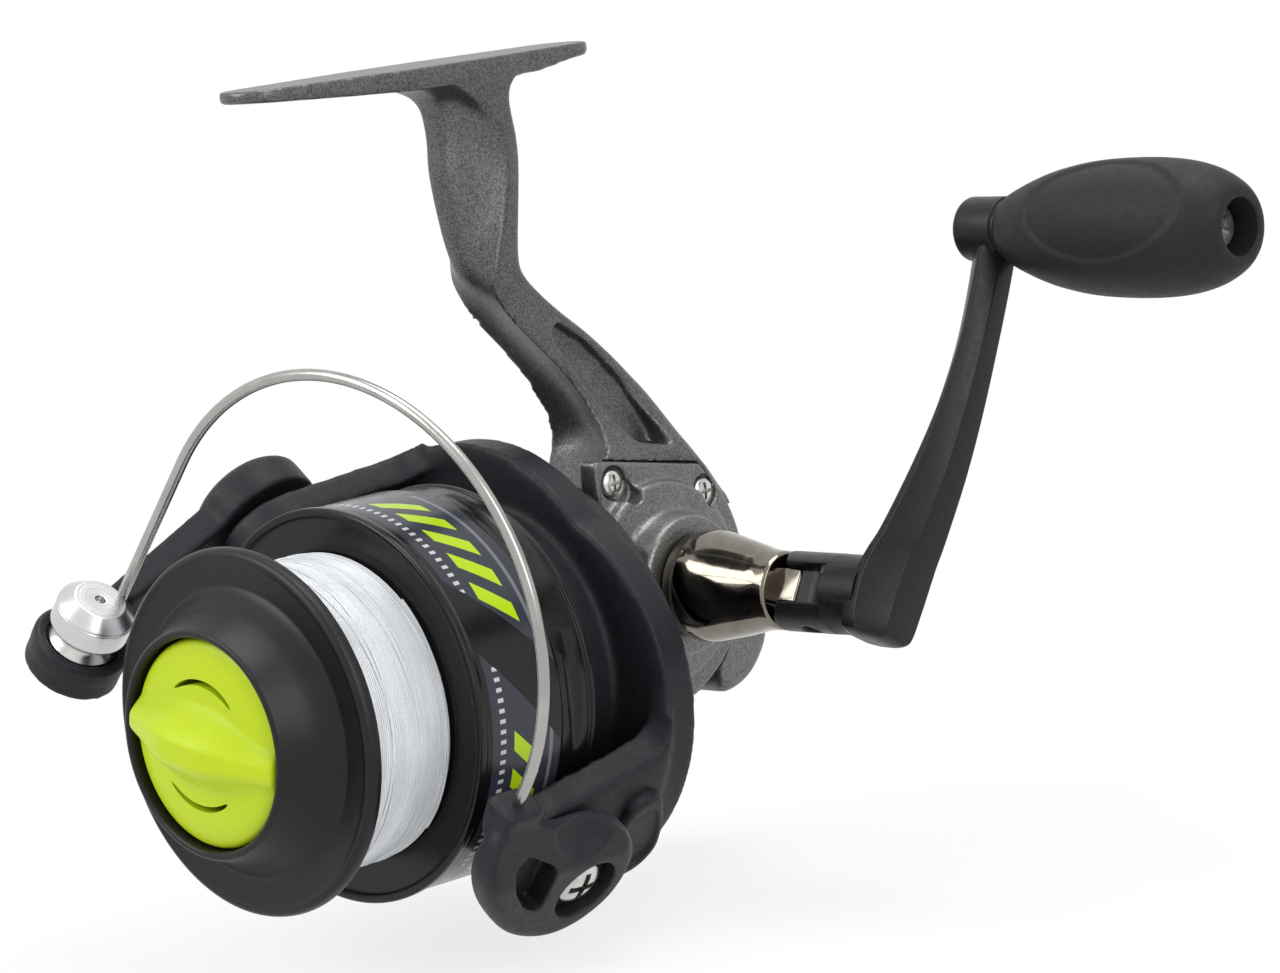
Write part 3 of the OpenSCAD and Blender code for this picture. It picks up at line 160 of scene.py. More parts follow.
def rounded(points, steps=5):
    # (radius, height, corner rounding) to a smooth outline
    line = []
    last = len(points) - 1
    for i, (r, z, fillet) in enumerate(points):
        here = Vector((r, z))
        if fillet == 0 or i in (0, last):
            line.append(here)
            continue
        before = Vector(points[i - 1][:2]) - here
        after = Vector(points[i + 1][:2]) - here
        reach = min(fillet, before.length * 0.49, after.length * 0.49)
        a = here + before.normalized() * reach
        b = here + after.normalized() * reach
        for k in range(steps + 1):
            t = k / steps
            line.append(a * (1 - t) ** 2 + here * 2 * t * (1 - t) + b * t * t)
    return line

def roundedLoop(points, fillet, steps=4):
    wrapped = [(p[0], p[1], fillet) for p in (points[-1], *points, points[0])]
    return rounded(wrapped, steps)[1:-1]

def smoothRun(rows, steps):
    # rows of numbers with a smooth curve through every column
    run = []
    last = len(rows) - 1
    for i in range(last):
        near = [rows[min(max(k, 0), last)] for k in (i - 1, i, i + 1, i + 2)]
        for k in range(steps):
            t = k / steps
            run.append([b + 0.5 * t * (c - a + t * (2 * a - 5 * b + 4 * c - d + t * (3 * (b - c) + d - a)))
                for a, b, c, d in zip(*near)])
    run.append(list(rows[-1]))
    return run

def smoothStep(low, high, value):
    t = min(max((value - low) / (high - low), 0), 1)
    return t * t * (3 - 2 * t)

def bezier(a, b, c, d, steps):
    a, b, c, d = (Vector(p) for p in (a, b, c, d))
    curve = []
    for i in range(steps + 1):
        t = i / steps
        u = 1 - t
        curve.append(a * u ** 3 + b * 3 * u * u * t + c * 3 * u * t * t + d * t ** 3)
    return curve

def drawOutline(name, spots):
    # edges drawn vertex by vertex, left selected in edit mode
    clearSelection()
    bpy.ops.mesh.primitive_plane_add(size=1, location=(0, 0, 0))
    piece = named(name)
    editAll(piece)
    bpy.ops.mesh.merge(type="CENTER")
    bpy.ops.transform.translate(value=spots[0])
    for here, there in zip(spots, spots[1:]):
        bpy.ops.mesh.extrude_vertices_move(TRANSFORM_OT_translate={"value": there - here})
    bpy.ops.mesh.select_all(action="SELECT")
    return piece

def spinOutline(name, outline, steps=96):
    # an outline of (radius, height) spun about Z
    piece = drawOutline(name, [Vector((p[0], 0, p[1])) for p in outline])
    bpy.ops.mesh.spin(steps=steps, angle=2 * math.pi, center=(0, 0, 0), axis=(0, 0, 1))
    bpy.ops.object.mode_set(mode="OBJECT")
    cleanMesh(piece)
    return piece

def sweepWire(name, points, radius, roundness=5):
    # a round bar along points
    clearSelection()
    bpy.ops.curve.primitive_bezier_curve_add(location=(0, 0, 0))
    piece = named(name)
    piece.data.splines.clear()
    path = piece.data.splines.new("POLY")
    path.points.add(len(points) - 1)
    for spot, p in zip(path.points, points):
        spot.co = (p[0], p[1], p[2], 1)
    piece.data.dimensions = "3D"
    piece.data.twist_mode = "MINIMUM"
    piece.data.bevel_depth = radius
    piece.data.bevel_resolution = roundness
    piece.data.use_fill_caps = True
    bpy.ops.object.convert(target="MESH")
    piece = bpy.context.object
    cleanMesh(piece, 0.0005)
    return piece

def slab(name, outline, low, high):
    # a flat outline in (x, y), filled and pulled up from low to high
    piece = drawOutline(name, [Vector((p[0], p[1], low)) for p in outline])
    bpy.ops.mesh.edge_face_add()
    bpy.ops.mesh.extrude_region_move(TRANSFORM_OT_translate={"value": (0, 0, high - low)})
    bpy.ops.object.mode_set(mode="OBJECT")
    cleanMesh(piece)
    return piece

def moveSelected(piece, before, after):
    mesh = bmesh.from_edit_mesh(piece.data)
    for vertex in mesh.verts:
        if vertex.select:
            nearest = min(range(len(before)), key=lambda k: (vertex.co - Vector(before[k])).length_squared)
            vertex.co = after[nearest]
    bmesh.update_edit_mesh(piece.data)

def loft(name, rings):
    # a closed skin pulled from ring to ring
    clearSelection()
    bpy.ops.mesh.primitive_circle_add(vertices=len(rings[0]), radius=1, fill_type="NGON", location=(0, 0, 0))
    piece = named(name)
    before = [v.co.copy() for v in piece.data.vertices]
    editAll(piece)
    moveSelected(piece, before, rings[0])
    for before, after in zip(rings, rings[1:]):
        bpy.ops.mesh.extrude_region_move()
        moveSelected(piece, before, after)
    bpy.ops.object.mode_set(mode="OBJECT")
    cleanMesh(piece, 0.0005)
    return piece

def ball(name, centre, radii):
    clearSelection()
    bpy.ops.mesh.primitive_uv_sphere_add(segments=64, ring_count=32, radius=1, location=(0, 0, 0))
    piece = named(name)
    piece.scale = radii
    piece.location = centre
    bpy.ops.object.transform_apply(location=True, rotation=True, scale=True)
    return piece

def rod(name, start, end, radius, sides=48):
    a, b = Vector(start), Vector(end)
    clearSelection()
    bpy.ops.mesh.primitive_cylinder_add(vertices=sides, radius=radius, depth=(b - a).length)
    piece = named(name)
    turn = (b - a).to_track_quat("Z", "Y").to_matrix().to_4x4()
    piece.matrix_world = Matrix.Translation((a + b) / 2) @ turn
    bpy.ops.object.transform_apply(location=True, rotation=True, scale=True)
    return piece

def combine(piece, tool, way="DIFFERENCE"):
    pick(piece)
    step = piece.modifiers.new("step", "BOOLEAN")
    step.operation = way
    step.solver = "EXACT"
    step.object = tool
    bpy.ops.object.modifier_apply(modifier=step.name)
    bpy.data.objects.remove(tool)
    return piece

def castCopy(name, *sources):
    # CAD solids copied and joined, to be worked on as one casting
    clearSelection()
    for node in sources:
        nodes[node].select_set(True)
        bpy.context.view_layer.objects.active = nodes[node]
    bpy.ops.object.duplicate()
    if len(sources) > 1:
        bpy.ops.object.join()
    piece = named(name)
    piece.parent = None
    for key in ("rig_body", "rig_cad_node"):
        if key in piece:
            del piece[key]
    cleanMesh(piece, 0.000002)
    return piece

def skin(piece, voxel, rounds, keep=1.0):
    applyModifier(piece, "REMESH", mode="VOXEL", voxel_size=voxel)
    applyModifier(piece, "SMOOTH", factor=0.5, iterations=rounds)
    if keep < 1:
        applyModifier(piece, "DECIMATE", ratio=keep)
    return piece

def finishPiece(piece, body, material, replaced=(), crease=35):
    pick(piece)
    bpy.ops.object.shade_smooth_by_angle(angle=math.radians(crease))
    piece.data.materials.clear()
    piece.data.materials.append(material)
    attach(piece, body)
    if replaced:
        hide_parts(*replaced)
    return piece

def copyPiece(piece, name):
    pick(piece)
    bpy.ops.object.duplicate()
    return named(name)

makeCamera()
print("camera set")


# finishes
class Finish:
    # a material's node tree with short calls
    def __init__(self, name):
        self.material = bpy.data.materials.new(name)
        self.material.use_nodes = True
        self.tree = self.material.node_tree
        self.shader = self.tree.nodes["Principled BSDF"]
        self.coords = self.tree.nodes.new("ShaderNodeTexCoord").outputs["Object"]

    def node(self, kind, **values):
        made = self.tree.nodes.new(kind)
        for key, value in values.items():
            setattr(made, key, value)
        return made

    def feed(self, socket, value):
        if isinstance(value, bpy.types.NodeSocket):
            self.tree.links.new(value, socket)
        else:
            socket.default_value = value

    def math(self, way, a, b=0.0, c=0.0):
        made = self.node("ShaderNodeMath", operation=way)
        for socket, value in zip(made.inputs, (a, b, c)):
            self.feed(socket, value)
        return made.outputs[0]

    def shifted(self, place=(0, 0, 0), scale=(1, 1, 1), turn=(0, 0, 0)):
        made = self.node("ShaderNodeMapping")
        made.inputs["Location"].default_value = place
        made.inputs["Rotation"].default_value = turn
        made.inputs["Scale"].default_value = scale
        self.feed(made.inputs["Vector"], self.coords)
        return made.outputs[0]

    def noise(self, scale, detail=3.0, vector=None, rough=0.5):
        made = self.node("ShaderNodeTexNoise")
        self.feed(made.inputs["Vector"], vector or self.coords)
        made.inputs["Scale"].default_value = scale
        made.inputs["Detail"].default_value = detail
        made.inputs["Roughness"].default_value = rough
        return made.outputs["Fac"]

    def cells(self, scale, vector=None):
        made = self.node("ShaderNodeTexVoronoi")
        self.feed(made.inputs["Vector"], vector or self.coords)
        made.inputs["Scale"].default_value = scale
        return made.outputs["Color"]

    def spread(self, fac, low, high, start=0.3, end=0.7):
        made = self.node("ShaderNodeMapRange")
        self.feed(made.inputs["Value"], fac)
        for key, value in (("From Min", start), ("From Max", end), ("To Min", low), ("To Max", high)):
            made.inputs[key].default_value = value
        return made.outputs[0]

    def ramp(self, fac, stops):
        made = self.node("ShaderNodeValToRGB")
        self.feed(made.inputs["Fac"], fac)
        elements = made.color_ramp.elements
        while len(elements) < len(stops):
            elements.new(0.5)
        for element, (spot, colour) in zip(elements, stops):
            element.position = spot
            element.color = (*colour, 1)
        return made.outputs["Color"]

    def blendColour(self, fac, a, b):
        made = self.node("ShaderNodeMix", data_type="RGBA")
        self.feed(made.inputs["Factor"], fac)
        for socket, value in ((made.inputs[6], a), (made.inputs[7], b)):
            self.feed(socket, value if isinstance(value, bpy.types.NodeSocket) else (*value, 1))
        return made.outputs[2]

    def bump(self, height, depth, strength=1.0):
        made = self.node("ShaderNodeBump")
        made.inputs["Strength"].default_value = strength
        made.inputs["Distance"].default_value = depth
        self.feed(made.inputs["Height"], height)
        self.feed(self.shader.inputs["Normal"], made.outputs[0])

    def surface(self, colour=None, rough=None, metal=0.0, coat=0.0, coatRough=0.05, specular=0.5):
        if colour is not None:
            self.feed(self.shader.inputs["Base Color"], colour)
        if rough is not None:
            self.feed(self.shader.inputs["Roughness"], rough)
        self.shader.inputs["Metallic"].default_value = metal
        self.shader.inputs["Coat Weight"].default_value = coat
        self.shader.inputs["Coat Roughness"].default_value = coatRough
        self.shader.inputs["Specular IOR Level"].default_value = specular
        return self.material


def speckledPaint(name, dark, light, metal, rough):
    # metallic paint with a fine sparkle
    paint = Finish(name)
    cloud = paint.noise(140, 4)
    flakes = paint.spread(paint.cells(5200), 0.0, 1.0, 0.25, 0.8)
    tone = paint.math("ADD", paint.math("MULTIPLY", cloud, 0.35), paint.math("MULTIPLY", flakes, 0.65))
    colour = paint.ramp(tone, ((0.15, dark), (0.85, light)))
    paint.bump(paint.cells(4200), 0.000012, 0.45)
    shine = paint.spread(paint.noise(1800, 2), rough - 0.05, rough + 0.07)
    return paint.surface(colour, shine, metal, 0.12, 0.22, 0.4)

def grainedPlastic(name, dark, light, rough, grain=2200, depth=0.00003, specular=0.3):
    plastic = Finish(name)
    cloud = plastic.noise(grain * 0.8, 3)
    colour = plastic.ramp(cloud, ((0.3, dark), (0.7, light)))
    plastic.bump(plastic.noise(grain, 5), depth, 0.6)
    shine = plastic.spread(plastic.noise(700, 3), rough - 0.06, rough + 0.06)
    return plastic.surface(colour, shine, specular=specular)

def polishedMetal(name, dark, light, rough, streak=(1, 1, 1), scale=500):
    metal = Finish(name)
    marks = metal.noise(scale, 4, metal.shifted(scale=streak))
    metal.bump(marks, 0.000003, 0.15)
    colour = metal.ramp(marks, ((0.3, dark), (0.7, light)))
    return metal.surface(colour, metal.spread(marks, rough - 0.04, rough + 0.06), 1.0)

gunmetal = speckledPaint("gunmetalPaint", (0.060, 0.062, 0.066), (0.155, 0.158, 0.164), 0.78, 0.40)
coverPaint = speckledPaint("coverPaint", (0.105, 0.105, 0.104), (0.215, 0.214, 0.210), 0.80, 0.36)
charcoal = grainedPlastic("charcoalCast", (0.0090, 0.0096, 0.0125), (0.0165, 0.0174, 0.0215), 0.50,
    specular=0.24)
satinBlack = grainedPlastic("satinBlack", (0.0050, 0.0050, 0.0052), (0.0125, 0.0124, 0.0120), 0.36,
    3600, 0.00002, 0.24)
softTouch = grainedPlastic("softTouchBlack", (0.0090, 0.0094, 0.0105), (0.0175, 0.0180, 0.0200), 0.56,
    4200, 0.00003, 0.22)
limeSatin = grainedPlastic("limeSatin", (0.45, 0.59, 0.008), (0.50, 0.64, 0.012), 0.40, 3800, 0.000008, 0.28)
steel = polishedMetal("polishedSteel", (0.50, 0.49, 0.47), (0.70, 0.69, 0.67), 0.24)
darkSteel = polishedMetal("groundSteel", (0.36, 0.36, 0.37), (0.50, 0.50, 0.51), 0.32)
brass = polishedMetal("machinedBrass", (0.55, 0.40, 0.16), (0.72, 0.55, 0.26), 0.28)
blackChrome = polishedMetal("blackChrome", (0.185, 0.165, 0.138), (0.235, 0.212, 0.178), 0.09)
wireSteel = polishedMetal("drawnWire", (0.36, 0.352, 0.335), (0.45, 0.44, 0.42), 0.24, scale=160)
felt = grainedPlastic("oiledFelt", (0.30, 0.22, 0.13), (0.42, 0.32, 0.20), 0.9, 1500, 0.0001)

def turnedAluminium():
    # fine rings round the roller's axis
    metal = Finish("turnedAluminium")
    place = jointPlace("roller_turn")
    tilt = math.atan2(rollerAxis.x, rollerAxis.z)
    turn = metal.node("ShaderNodeMapping", vector_type="TEXTURE")
    turn.inputs["Location"].default_value = place
    turn.inputs["Rotation"].default_value = (0, tilt, 0)
    metal.feed(turn.inputs["Vector"], metal.coords)
    parts = metal.node("ShaderNodeSeparateXYZ")
    metal.feed(parts.inputs[0], turn.outputs[0])
    x, y, z = parts.outputs
    radius = metal.math("SQRT", metal.math("ADD", metal.math("MULTIPLY", x, x), metal.math("MULTIPLY", y, y)))
    rings = metal.node("ShaderNodeTexNoise", noise_dimensions="1D")
    metal.feed(rings.inputs["W"], metal.math("ADD", radius, z))
    rings.inputs["Scale"].default_value = 5200
    metal.bump(rings.outputs["Fac"], 0.00001, 0.5)
    colour = metal.ramp(rings.outputs["Fac"], ((0.3, (0.54, 0.54, 0.55)), (0.7, (0.68, 0.68, 0.69))))
    return metal.surface(colour, metal.spread(rings.outputs["Fac"], 0.22, 0.34), 1.0)

aluminium = turnedAluminium()

skirtBand = {
    "front": 22.6, "back": 36.8,
    "lime": (0.44, 0.66, 0.006), "grey": (0.16, 0.17, 0.19),
    "pale": (0.55, 0.56, 0.58), "slate": (0.034, 0.036, 0.050),
}

def glossBlack():
    # black lacquer, with a printed band of bars and ticks round the skirt
    lacquer = Finish("blackLacquer")
    parts = lacquer.node("ShaderNodeSeparateXYZ")
    lacquer.feed(parts.inputs[0], lacquer.shifted((0, -spoolFront, -shaftZ)))
    x, y, z = parts.outputs
    squares = lacquer.math("ADD", lacquer.math("MULTIPLY", x, x), lacquer.math("MULTIPLY", z, z))
    radius = lacquer.math("SQRT", squares)
    onSkirt = lacquer.math("GREATER_THAN", radius, 0.0296)
    turn = lacquer.math("ARCTAN2", z, x)

    def within(low, high):
        above = lacquer.math("GREATER_THAN", y, low / 1000)
        return lacquer.math("MULTIPLY", above, lacquer.math("LESS_THAN", y, high / 1000))

    def repeated(count, share, slant=0.0):
        around = lacquer.math("MULTIPLY", turn, count / (2 * math.pi))
        step = lacquer.math("ADD", around, lacquer.math("MULTIPLY", y, slant))
        return lacquer.math("LESS_THAN", lacquer.math("FRACT", step), share)

    front, back = skirtBand["front"], skirtBand["back"]
    panel = lacquer.math("MULTIPLY", within(front, back), repeated(4, 0.74, 24))
    bars = lacquer.math("MULTIPLY", within(front + 4.4, back - 4.2), repeated(32, 0.52, 150))
    bars = lacquer.math("MULTIPLY", bars, repeated(4, 0.60, 24))
    ticks = lacquer.math("MULTIPLY", within(front + 1.6, front + 2.7), repeated(120, 0.40))
    lines = lacquer.math("MULTIPLY", within(back - 2.4, back - 1.7), repeated(4, 0.74, 24))
    wear = lacquer.noise(400, 4)
    colour = lacquer.ramp(wear, ((0.3, (0.0040, 0.0040, 0.0044)), (0.7, (0.0062, 0.0062, 0.0068))))
    ticks = lacquer.math("MULTIPLY", ticks, panel)
    for mask, ink in ((panel, "slate"), (bars, "lime"), (ticks, "pale"), (lines, "grey")):
        colour = lacquer.blendColour(lacquer.math("MULTIPLY", mask, onSkirt), colour, skirtBand[ink])
    lacquer.bump(lacquer.noise(900, 2), 0.000006, 0.3)
    satin = lacquer.spread(y, 0.40, 0.0, 0.010, 0.018)
    rough = lacquer.math("MAXIMUM", satin, lacquer.spread(wear, 0.19, 0.26))
    return lacquer.surface(colour, rough, 0.0, 0.0, 0.06, 0.30)

blackLacquer = glossBlack()

def wovenLine():
    # clear line, its strands lighter and darker along the spool
    strand = Finish("clearLine")
    streaks = strand.noise(1, 4, strand.shifted(scale=(60, 3800, 60)))
    patches = strand.noise(1, 3, strand.shifted(scale=(70, 260, 70)))
    tone = strand.math("ADD", strand.math("MULTIPLY", streaks, 0.6), strand.math("MULTIPLY", patches, 0.4))
    colour = strand.ramp(tone, ((0.30, (0.66, 0.68, 0.72)), (0.66, (0.86, 0.88, 0.90))))
    return strand.surface(colour, strand.spread(tone, 0.18, 0.34), 0.0, 0.2, 0.1)

clearLine = wovenLine()
print("finishes ready")


# spool
spool = {
    "steps": 160,
    "outline": (
        (2.26, 8.5, 0), (11.6, 8.5, 0), (11.6, -1.5, 0.3), (16.1, -1.5, 0.3), (16.1, -7.6, 0.3),
        (16.5, -8.1, 0.3), (17.3, -8.0, 0.5), (18.2, -5.4, 1.5), (19.7, -2.2, 1.8), (21.5, -0.1, 0.9),
        (22.3, 0.5, 0.3), (26.2, 0.2, 0.5), (26.9, -0.1, 0.4), (27.7, 0.3, 0.5), (28.0, 1.2, 0.5),
        (28.0, 2.0, 0.4), (27.6, 2.5, 0.3), (14.0, 2.5, 0), (14.0, 20.4, 0), (28.9, 20.4, 0.3),
        (29.4, 19.6, 0.4), (30.5, 19.7, 0.5), (30.5, 21.0, 0.5), (30.1, 21.6, 0.2), (30.2, 37.0, 0.3),
        (29.8, 37.5, 0.2), (29.8, 42.9, 0.2), (29.5, 43.2, 0.1), (29.5, 43.6, 0.1), (29.9, 43.9, 0.15),
        (29.9, 44.7, 0.3), (28.4, 44.7, 0.3), (28.4, 23.4, 0.5), (6.0, 23.4, 0.3), (6.0, 24.6, 0.3),
        (2.26, 24.6, 0), (2.26, 8.5, 0),
    ),
    "leaves": 6, "leafSpan": 47, "leafRadius": 30.3, "leafMiddle": 40.2, "leafDeep": 1.0, "leafWide": 1.9,
}

def makeSpool():
    piece = spinOutline("spoolShell", rounded(spool["outline"], 4), spool["steps"])
    span = math.radians(spool["leafSpan"])
    for i in range(spool["leaves"]):
        rings = []
        for k in range(25):
            share = k / 24
            size = max(math.sin(math.pi * share) ** 0.6, 0.06)
            turn = 2 * math.pi * i / spool["leaves"] + span * (share - 0.5)
            ring = []
            for q in range(14):
                angle = 2 * math.pi * q / 14
                r = spool["leafRadius"] + spool["leafDeep"] * size * math.cos(angle)
                y = spool["leafMiddle"] + spool["leafWide"] * size * math.sin(angle)
                ring.append(Vector((r * math.cos(turn), r * math.sin(turn), y)))
            rings.append(ring)
        combine(piece, loft("leaf", rings))
    settle(piece, onShaft)
    finishPiece(piece, "spool", blackLacquer, ("spool", "spool_skirt"), 32)


# wound line: a close helix over a core, with a few crossing turns on top
winding = {
    "front": 2.75, "back": 20.15, "top": 24.2, "strand": 0.2, "pitch": 0.39, "around": 72,
    "inset": 0.25, "crossPitch": 5.4, "crossLift": 1.25, "crossApart": 0.05, "crossThin": 0.8,
    "arbor": 14.05, "corner": 0.3, "shoulder": 0.5,
}

def helix(name, radius, strand, low, high, pitch, hand=1):
    turns = (high - low) / pitch
    count = int(turns * winding["around"])
    points = []
    for i in range(count + 1):
        angle = hand * 2 * math.pi * turns * i / count
        points.append((radius * math.cos(angle), radius * math.sin(angle), low + (high - low) * i / count))
    return sweepWire(name, points, strand, 1)

def makeLine():
    front, back, strand, inset = (winding[key] for key in ("front", "back", "strand", "inset"))
    low, high = front + inset, back - inset
    under = winding["top"] - 3 * strand
    coil = helix("woundLine", under, strand, low, high, winding["pitch"])
    settle(coil, onShaft)
    finishPiece(coil, "spool", clearLine, ("line_winding",))
    arbor, corner, shoulder = (winding[key] for key in ("arbor", "corner", "shoulder"))
    core = spinOutline("lineCore", rounded((
        (arbor, front, 0), (under - corner, front, corner), (under, front + shoulder, corner),
        (under, back - shoulder, corner), (under - corner, back, corner), (arbor, back, 0),
        (arbor, front, 0))), 128)
    settle(core, onShaft)
    finishPiece(core, "spool", clearLine, ("line_core",))
    for hand, name in ((1, "crossTurnsOut"), (-1, "crossTurnsBack")):
        radius = under + strand * (winding["crossLift"] + winding["crossApart"] * hand)
        turns = helix(name, radius, strand * winding["crossThin"], low, high, winding["crossPitch"], hand)
        settle(turns, onShaft)
        finishPiece(turns, "spool", clearLine)

makeSpool()
makeLine()
print("spool wound")


# drag knob: a lime disc with a ridge to grip and two slits
dragKnob = {
    "radius": 15.9, "back": -1.8, "rim": -6.3, "dome": -8.4,
    "ridge": 4.9, "ridgeEnd": 1.9, "wide": 5.4, "narrow": 3.0, "flat": 0.22, "foot": 1.3, "turn": 12,
    "slitRadius": 9.6, "slitHalf": 0.48, "slitAngle": 80, "slitFloor": -1.0, "slitTop": -15,
    "hollow": 8.4, "hollowFloor": -3.6, "socket": 2.8, "socketFloor": -5.0, "ease": 1.4,
}

def ridgeHeight(x, y):
    turn = math.radians(dragKnob["turn"])
    along = x * math.cos(turn) + y * math.sin(turn)
    over = -x * math.sin(turn) + y * math.cos(turn)
    share = min(abs(along) / dragKnob["radius"], 1)
    half = dragKnob["wide"] + (dragKnob["narrow"] - dragKnob["wide"]) * smoothStep(0.15, 0.85, share)
    tall = dragKnob["ridge"] + (dragKnob["ridgeEnd"] - dragKnob["ridge"]) * smoothStep(0.1, 0.95, share)
    return tall * (1 - smoothStep(dragKnob["flat"], dragKnob["foot"], abs(over) / half))

def makeDragKnob():
    r, back, rim, dome = (dragKnob[key] for key in ("radius", "back", "rim", "dome"))
    front = bezier((0.0, dome), (r * 0.45, dome), (r * 0.8, dome + 0.4), (r - 0.8, rim - 0.6), 52)
    edge = bezier((r - 0.8, rim - 0.6), (r - 0.3, rim - 0.35), (r, rim), (r, rim + 0.8), 10)
    hollow, floor = dragKnob["hollow"], dragKnob["hollowFloor"]
    socket, end = dragKnob["socket"], dragKnob["socketFloor"]
    inside = [Vector(p) for p in (
        (r, back), (hollow, back), (hollow, floor), (socket, floor), (socket, end), (0.0, end))]
    piece = spinOutline("dragKnobCap", front + edge[1:] + inside, 224)
    for v in piece.data.vertices:
        if v.co.z < rim + dragKnob["ease"]:
            ease = smoothStep(rim + dragKnob["ease"], rim - 0.4, v.co.z)
            v.co.z -= ridgeHeight(v.co.x, v.co.y) * ease
    turn = math.radians(dragKnob["turn"])
    half = math.radians(dragKnob["slitAngle"]) / 2
    s, reach, floor, top = (dragKnob[key] for key in ("slitHalf", "slitRadius", "slitFloor", "slitTop"))
    for side in (math.pi / 2, -math.pi / 2):
        rings = []
        for k in range(25):
            share = k / 24
            angle = side + turn + half * (2 * share - 1)
            wide = s * max(math.sin(math.pi * share) ** 0.35, 0.12)
            rings.append([Vector((q * math.cos(angle), q * math.sin(angle), z)) for q, z in (
                (reach - wide, floor), (reach + wide, floor), (reach + wide, top), (reach - wide, top))])
        combine(piece, loft("slit", rings))
    settle(piece, onShaft)
    finishPiece(piece, "drag", limeSatin, ("drag_knob",), 50)

makeDragKnob()
print("drag knob made")


# cross-head screw, modelled once with a head of radius 1
crossScrew = {
    "outline": (
        (0.0, 0.30, 0), (0.60, 0.26, 0.3), (0.96, 0.06, 0.12), (1.0, -0.14, 0.08), (1.0, -0.42, 0.06),
        (0.46, -0.44, 0), (0.46, -2.4, 0.1), (0.0, -2.5, 0),
    ),
    "arm": 0.66, "half": 0.14, "floor": -0.24,
}

def makeScrew():
    screw = spinOutline("crossScrew", [p * 10 for p in rounded(crossScrew["outline"])], 64)
    reach, half, floor = (10 * crossScrew[key] for key in ("arm", "half", "floor"))
    for a, b in ((reach, half), (half, reach)):
        combine(screw, slab("crossSlot", ((-a, -b), (a, -b), (a, b), (-a, b)), floor, 8))
    return screw

screwMaster = makeScrew()

def placeScrew(name, place, radius, body, replaced=()):
    screw = copyPiece(screwMaster, name)
    settle(screw, place @ Matrix.Scale(radius / 10, 4))
    finishPiece(screw, body, steel, replaced, 30)


# rotor with its two arms, and the bail that swings on them
lobe = {
    "outline": (
        (11.6, -9.6), (17.8, -10.6), (22.4, -9.2), (24.6, -5.2),
        (22.6, 1.4), (18.2, 8.6), (12.6, 7.4), (11.6, 0.0),
    ),
    "low": 30.5, "top": 38.4, "edge": 1.2, "faceShare": 0.74, "faceDeep": 0.7,
}

def makeRotor():
    piece = castCopy("rotorCasting", "rotor", "rotor_arms")
    skin(piece, 0.0005, 24, 0.5)
    finishPiece(piece, "rotor", charcoal, ("rotor", "rotor_arms"), 60)
    lid = skin(castCopy("rollerSideLid", "roller_side_cover"), 0.0003, 14)
    finishPiece(lid, "rotor", charcoal, ("roller_side_cover",), 60)
    shape = roundedLoop(lobe["outline"], 2.4, 6)
    side = slab("bailSideLobe", shape, lobe["low"], lobe["top"])
    bevelEdges(side, lobe["edge"], 5)
    middle = Vector((sum(q[0] for q in shape), sum(q[1] for q in shape))) / len(shape)
    inner = [middle + (Vector(q[:2]) - middle) * lobe["faceShare"] for q in shape]
    combine(side, slab("face", inner, lobe["top"] - lobe["faceDeep"], lobe["top"] + 2))
    skin(side, 0.25, 5)
    settle(side, onPivot)
    finishPiece(side, "rotor", charcoal, ("bail_side_cover",), 60)

roller = {
    "cap": (
        (0.0, 5.8, 0), (0.85, 5.8, 0.1), (0.85, 7.0, 0.12), (4.1, 7.0, 0.2), (6.1, 5.1, 0.25),
        (6.15, 4.85, 0.05), (6.0, 4.75, 0.05), (6.2, 4.6, 0.1), (6.2, 1.2, 0.3), (5.8, 0.9, 0.1),
        (5.3, 0.9, 0), (5.3, 2.7, 0), (1.85, 2.7, 0), (1.85, 3.9, 0), (0.0, 3.9, 0),
    ),
    "wheel": (
        (1.86, -2.5, 0), (5.3, -2.5, 0.2), (5.4, -2.1, 0.2), (4.3, -0.9, 0.8), (4.3, 0.9, 0.8),
        (5.0, 2.2, 0.2), (4.9, 2.5, 0.2), (1.86, 2.5, 0), (1.86, -2.5, 0),
    ),
    "seat": (
        (5.8, -5.0, 0), (7.4, -5.0, 0.3), (7.7, -4.2, 0.6), (7.7, -1.9, 0.4), (7.2, -1.4, 0.3),
        (6.7, -1.4, 0.2), (6.5, -1.7, 0.15), (5.9, -1.7, 0.2), (5.8, -2.2, 0), (5.8, -5.0, 0),
    ),
}

bailArm = {
    "outline": (
        (9.8, 0.5), (8.3, -5.4), (3.2, -9.5), (-3.5, -10.2), (-11.5, -7.0),
        (-18.4, -0.6), (-22.6, 6.0), (-23.4, 11.0), (-22.2, 15.2), (-18.4, 16.8),
        (-14.4, 15.0), (-8.0, 12.6), (-2.0, 12.4), (4.0, 10.6), (8.4, 6.0),
    ),
    "inner": 37.8, "outer": 44.7, "edge": 2.6,
    "clevis": ((-22.4, 9.0, 35.3), (-14.6, 9.0, 41.4)),
    "clevisRings": (
        (8.0, 2.6, 2.6, 0.0), (13.0, 0.6, 0.8, 0.0), (17.9, 0.0, 0.0, 0.0), (18.4, 0.5, 0.5, 0.5),
    ),
    # the outer face falls away toward the clevis: where it starts, its fall, how far it reaches
    "slopeStart": 6.6, "slopeFall": 0.36, "slopeEnd": 24.0,
    "recess": 5.6, "recessFloor": 41.6, "screwHead": 4.1, "screwSeat": 43.0, "out": 60,
    "pocket": (
        (-16.2, 11.0), (-9.4, 7.6), (-9.0, 1.8), (-9.0, -1.6),
        (-13.1, 0.4), (-17.6, 5.6), (-18.6, 9.4),
    ),
    "pocketFloor": 41.0, "pocketRound": 1.6,
    "saddle": (-4.4, 14.8, 47.4), "saddleReach": (8.8, 7.6, 7.8),
}

